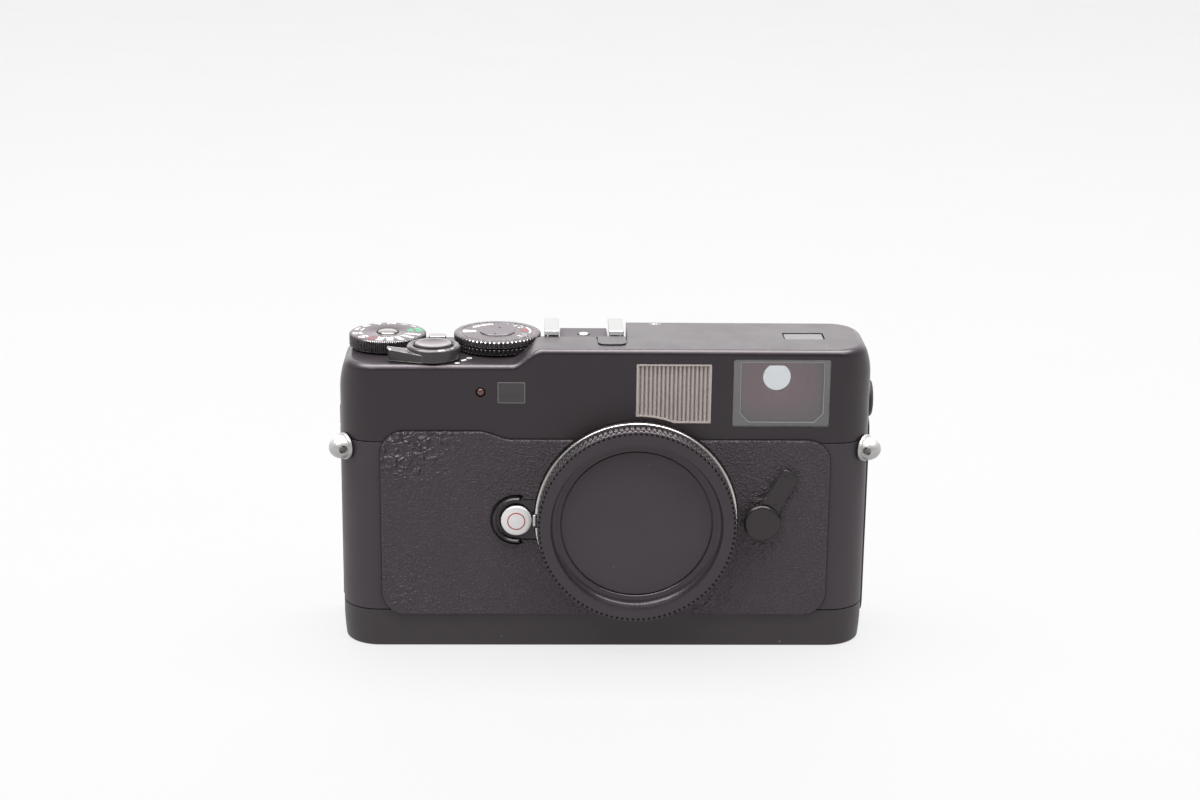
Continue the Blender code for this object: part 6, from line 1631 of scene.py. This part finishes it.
dialTop = span("shutter_dial")[1].z + 0.005
dialMarks = {"reach": 9.0, "sizes": {1: 2.9, 2: 2.8, 3: 2.5, 4: 2.1},
             "white": {220: "60", 258: "250", 277: "500", 297: "1000", 318: "2000", 340: "4000", 40: "1",
                       62: "1", 86: "2", 110: "4", 134: "8", 160: "15", 192: "30"},
             "red": ("125", 2.6, 240), "green": (4, 11, 18, 25), "greenHalf": 2,
             "greenBands": ((5.2, 6.6), (7.2, 8.9))}
whiteNumbers = [radialNumber(text, dialMarks["sizes"][len(text)], dial, dialMarks["reach"], degrees, dialTop)
                for degrees, text in dialMarks["white"].items()]
makePiece("dialNumbers", mergeShapes(*whiteNumbers), "shutter_dial", inkWhite)
text, size, degrees = dialMarks["red"]
redNumber = radialNumber(text, size, dial, dialMarks["reach"], degrees, dialTop)
makePiece("dialRedNumber", redNumber, "shutter_dial", inkDeepRed)
greenBlocks = [arcMark((dial.x, dial.y), inner, outer, turn - dialMarks["greenHalf"],
                       turn + dialMarks["greenHalf"], dialTop - 0.02, dialTop + 0.02, 4)
               for turn in dialMarks["green"] for inner, outer in dialMarks["greenBands"]]
makePiece("dialGreenMark", mergeShapes(*greenBlocks), "shutter_dial", inkGreen)
compensationMark = {"wedge": (5.4, 8.8, 171, 187), "scale": (8.15, 8.6, -8, 30), "red": (6.2, 7.7, 4, 20),
                    "size": 2.1, "reach": 7.2, "dotReach": 8.2, "dot": 0.2,
                    "dots": (44, 62, 72, -12, -28, -46),
                    "numbers": ((137, "400"), (112, "200"), (52, "1"), (36, "2"), (-20, "1"), (-36, "2"))}


def compensationMarks():
    look = compensationMark
    face = span("compensation_dial")[1].z - compensationLook["hubRise"]
    centre = (compensation.x, compensation.y)
    low, high = face - 0.02, face + 0.025
    white = [arcMark(centre, *look["wedge"], low, high, 8), arcMark(centre, *look["scale"], low, high)]
    for degrees, text in look["numbers"]:
        turn = math.radians(degrees)
        white.append(numberShape(text, look["size"], *roundPoint(centre, look["reach"], turn), face + 0.005,
                                 turn - math.pi / 2))
    for degrees in look["dots"]:
        place = roundPoint(centre, look["dotReach"], math.radians(degrees))
        white.append(rodShape(*place, look["dot"], low, high, steps=16))
    return mergeShapes(*white), mergeShapes(arcMark(centre, *look["red"], low, high))


markWhite, markRed = compensationMarks()
makePiece("compensationMarks", markWhite, "compensation_dial", inkWhite)
makePiece("compensationRedMark", markRed, "compensation_dial", inkDeepRed)
deckMark = {"dot": (-37.1, -12.0, 0.62), "frame": (-36.3, -35.5, -10.0, -8.9), "frameCorner": 0.15,
            "frameStep": (0.55, 0.5), "timer": (-34.3, -7.3), "timerRing": (0.35, 0.7), "plane": (13.0, 11.6),
            "planeRing": (0.5, 0.75), "planeBar": ((11.4, 14.6), (11.48, 11.72))}


def deckMarks():
    # single frame, row of frames and timer beside the collar, and the film plane mark
    low, high = deck - 0.02, deck + 0.03
    marks = [rodShape(*deckMark["dot"], low, high, steps=32)]
    left, right, near, far = deckMark["frame"]
    for i in range(2):
        x, y = (step * i for step in deckMark["frameStep"])
        outline = roundedRect(left + x, right + x, near + y, far + y, deckMark["frameCorner"], steps=3)
        marks.append(softPrism(outline, low, high + 0.01 * i, "Z", 0.01, 0.01, 1))
    marks.append(turnedShape(boxProfile(*deckMark["timerRing"], low, high), deckMark["timer"], "Z", 40))
    low, high = plateau - 0.02, plateau + 0.03
    marks.append(turnedShape(boxProfile(*deckMark["planeRing"], low, high), deckMark["plane"], "Z", 40))
    return mergeShapes(*marks, boxShape(*deckMark["planeBar"], (low, high + 0.005)))


makePiece("deckMarks", deckMarks(), "camera_body", inkWhite)
print("marks printed")


# Studio
paper = {"colour": (0.032, 0.032, 0.032), "tone": (0.034, 0.034, 0.034), "roughness": 0.7, "grain": 900.0,
         "bump": 0.02, "specular": 0.2,
         "glow": ((0.795, 0.795, 0.795), (0.765, 0.765, 0.765), (0.0, 0.0, 0.0), 200.0, 1400.0)}
floorMesh = bpy.data.meshes.new("studioFloor")
floorMesh.from_pydata([(-6, -4, 0), (6, -4, 0), (6, 8, 0), (-6, 8, 0)], [], [(0, 1, 2, 3)])
floorMesh.materials.append(makeFinish("floorPaper", paper))
floor = bpy.data.objects.new("studioFloor", floorMesh)
floor.location = (0, 0, -0.0001)
scene.collection.objects.link(floor)

# a pale tent all round, dark only behind the camera
world = bpy.data.worlds.new("studio")
world.use_nodes = True
sky = world.node_tree
tent = {"dark": 0.08, "bright": 0.5, "horizon": 1.3, "darkRange": (-0.85, -0.3), "horizonRange": (0.6, 0.9),
        "colour": (1.0, 0.99, 0.995, 1.0)}
split = sky.nodes.new("ShaderNodeSeparateXYZ")
sky.links.new(sky.nodes.new("ShaderNodeTexCoord").outputs["Generated"], split.inputs[0])
glow = addRange(sky, split.outputs["Y"], *tent["darkRange"], tent["dark"], tent["bright"])
edge = addRange(sky, split.outputs["Y"], *tent["horizonRange"], 0.0, tent["horizon"])
glow = addMath(sky, "ADD", glow, edge)
sky.nodes["Background"].inputs["Color"].default_value = tent["colour"]
sky.links.new(glow, sky.nodes["Background"].inputs["Strength"])
scene.world = world

lamps = {"key": {"place": (-0.42, -0.72, 1.0), "aim": (0.0, 0.0, 0.03), "size": (0.55, 0.42), "power": 5.0},
         "brow": {"place": (-0.05, -0.28, 1.2), "aim": (0.0, 0.0, 0.05), "size": (2.0, 0.38), "power": 23.0},
         "top": {"place": (0.0, 0.25, 1.2), "aim": (0.0, 0.1, 0.05), "size": (1.7, 0.5), "power": 40.0}}
for name, look in lamps.items():
    light = bpy.data.lights.new(name + "Softbox", "AREA")
    light.shape = "RECTANGLE"
    light.size, light.size_y = look["size"]
    light.energy = look["power"]
    holder = bpy.data.objects.new(name + "Softbox", light)
    holder.location = look["place"]
    holder.rotation_euler = (Vector(look["aim"]) - Vector(look["place"])).to_track_quat("-Z", "Y").to_euler()
    scene.collection.objects.link(holder)

cameraFit = {"place": (-16.37, -566.75, 228.99), "pitch": 16.463, "yaw": -1.529, "roll": 0.651,
             "lens": 69.501, "sensor": 36.0}
pitch, yaw, roll = (math.radians(cameraFit[key]) for key in ("pitch", "yaw", "roll"))
level = Vector((-math.sin(yaw), math.cos(yaw), 0.0))
side = Vector((math.cos(yaw), math.sin(yaw), 0.0))
forward = level * math.cos(pitch) - Vector((0, 0, 1)) * math.sin(pitch)
upward = Vector((0, 0, 1)) * math.cos(pitch) + level * math.sin(pitch)
right = side * math.cos(roll) + upward * math.sin(roll)
upward = upward * math.cos(roll) - side * math.sin(roll)
camera = bpy.data.cameras.new("photoCamera")
camera.lens = cameraFit["lens"]
camera.sensor_width = cameraFit["sensor"]
camera.sensor_fit = "HORIZONTAL"
camera.clip_start = 0.01
cameraHolder = bpy.data.objects.new("photoCamera", camera)
turned = Matrix((right, upward, -forward)).transposed().to_4x4()
cameraHolder.matrix_world = Matrix.Translation(Vector(cameraFit["place"]) * mm) @ turned
scene.collection.objects.link(cameraHolder)
scene.camera = cameraHolder
scene.view_settings.view_transform = "Standard"
print("studio set")
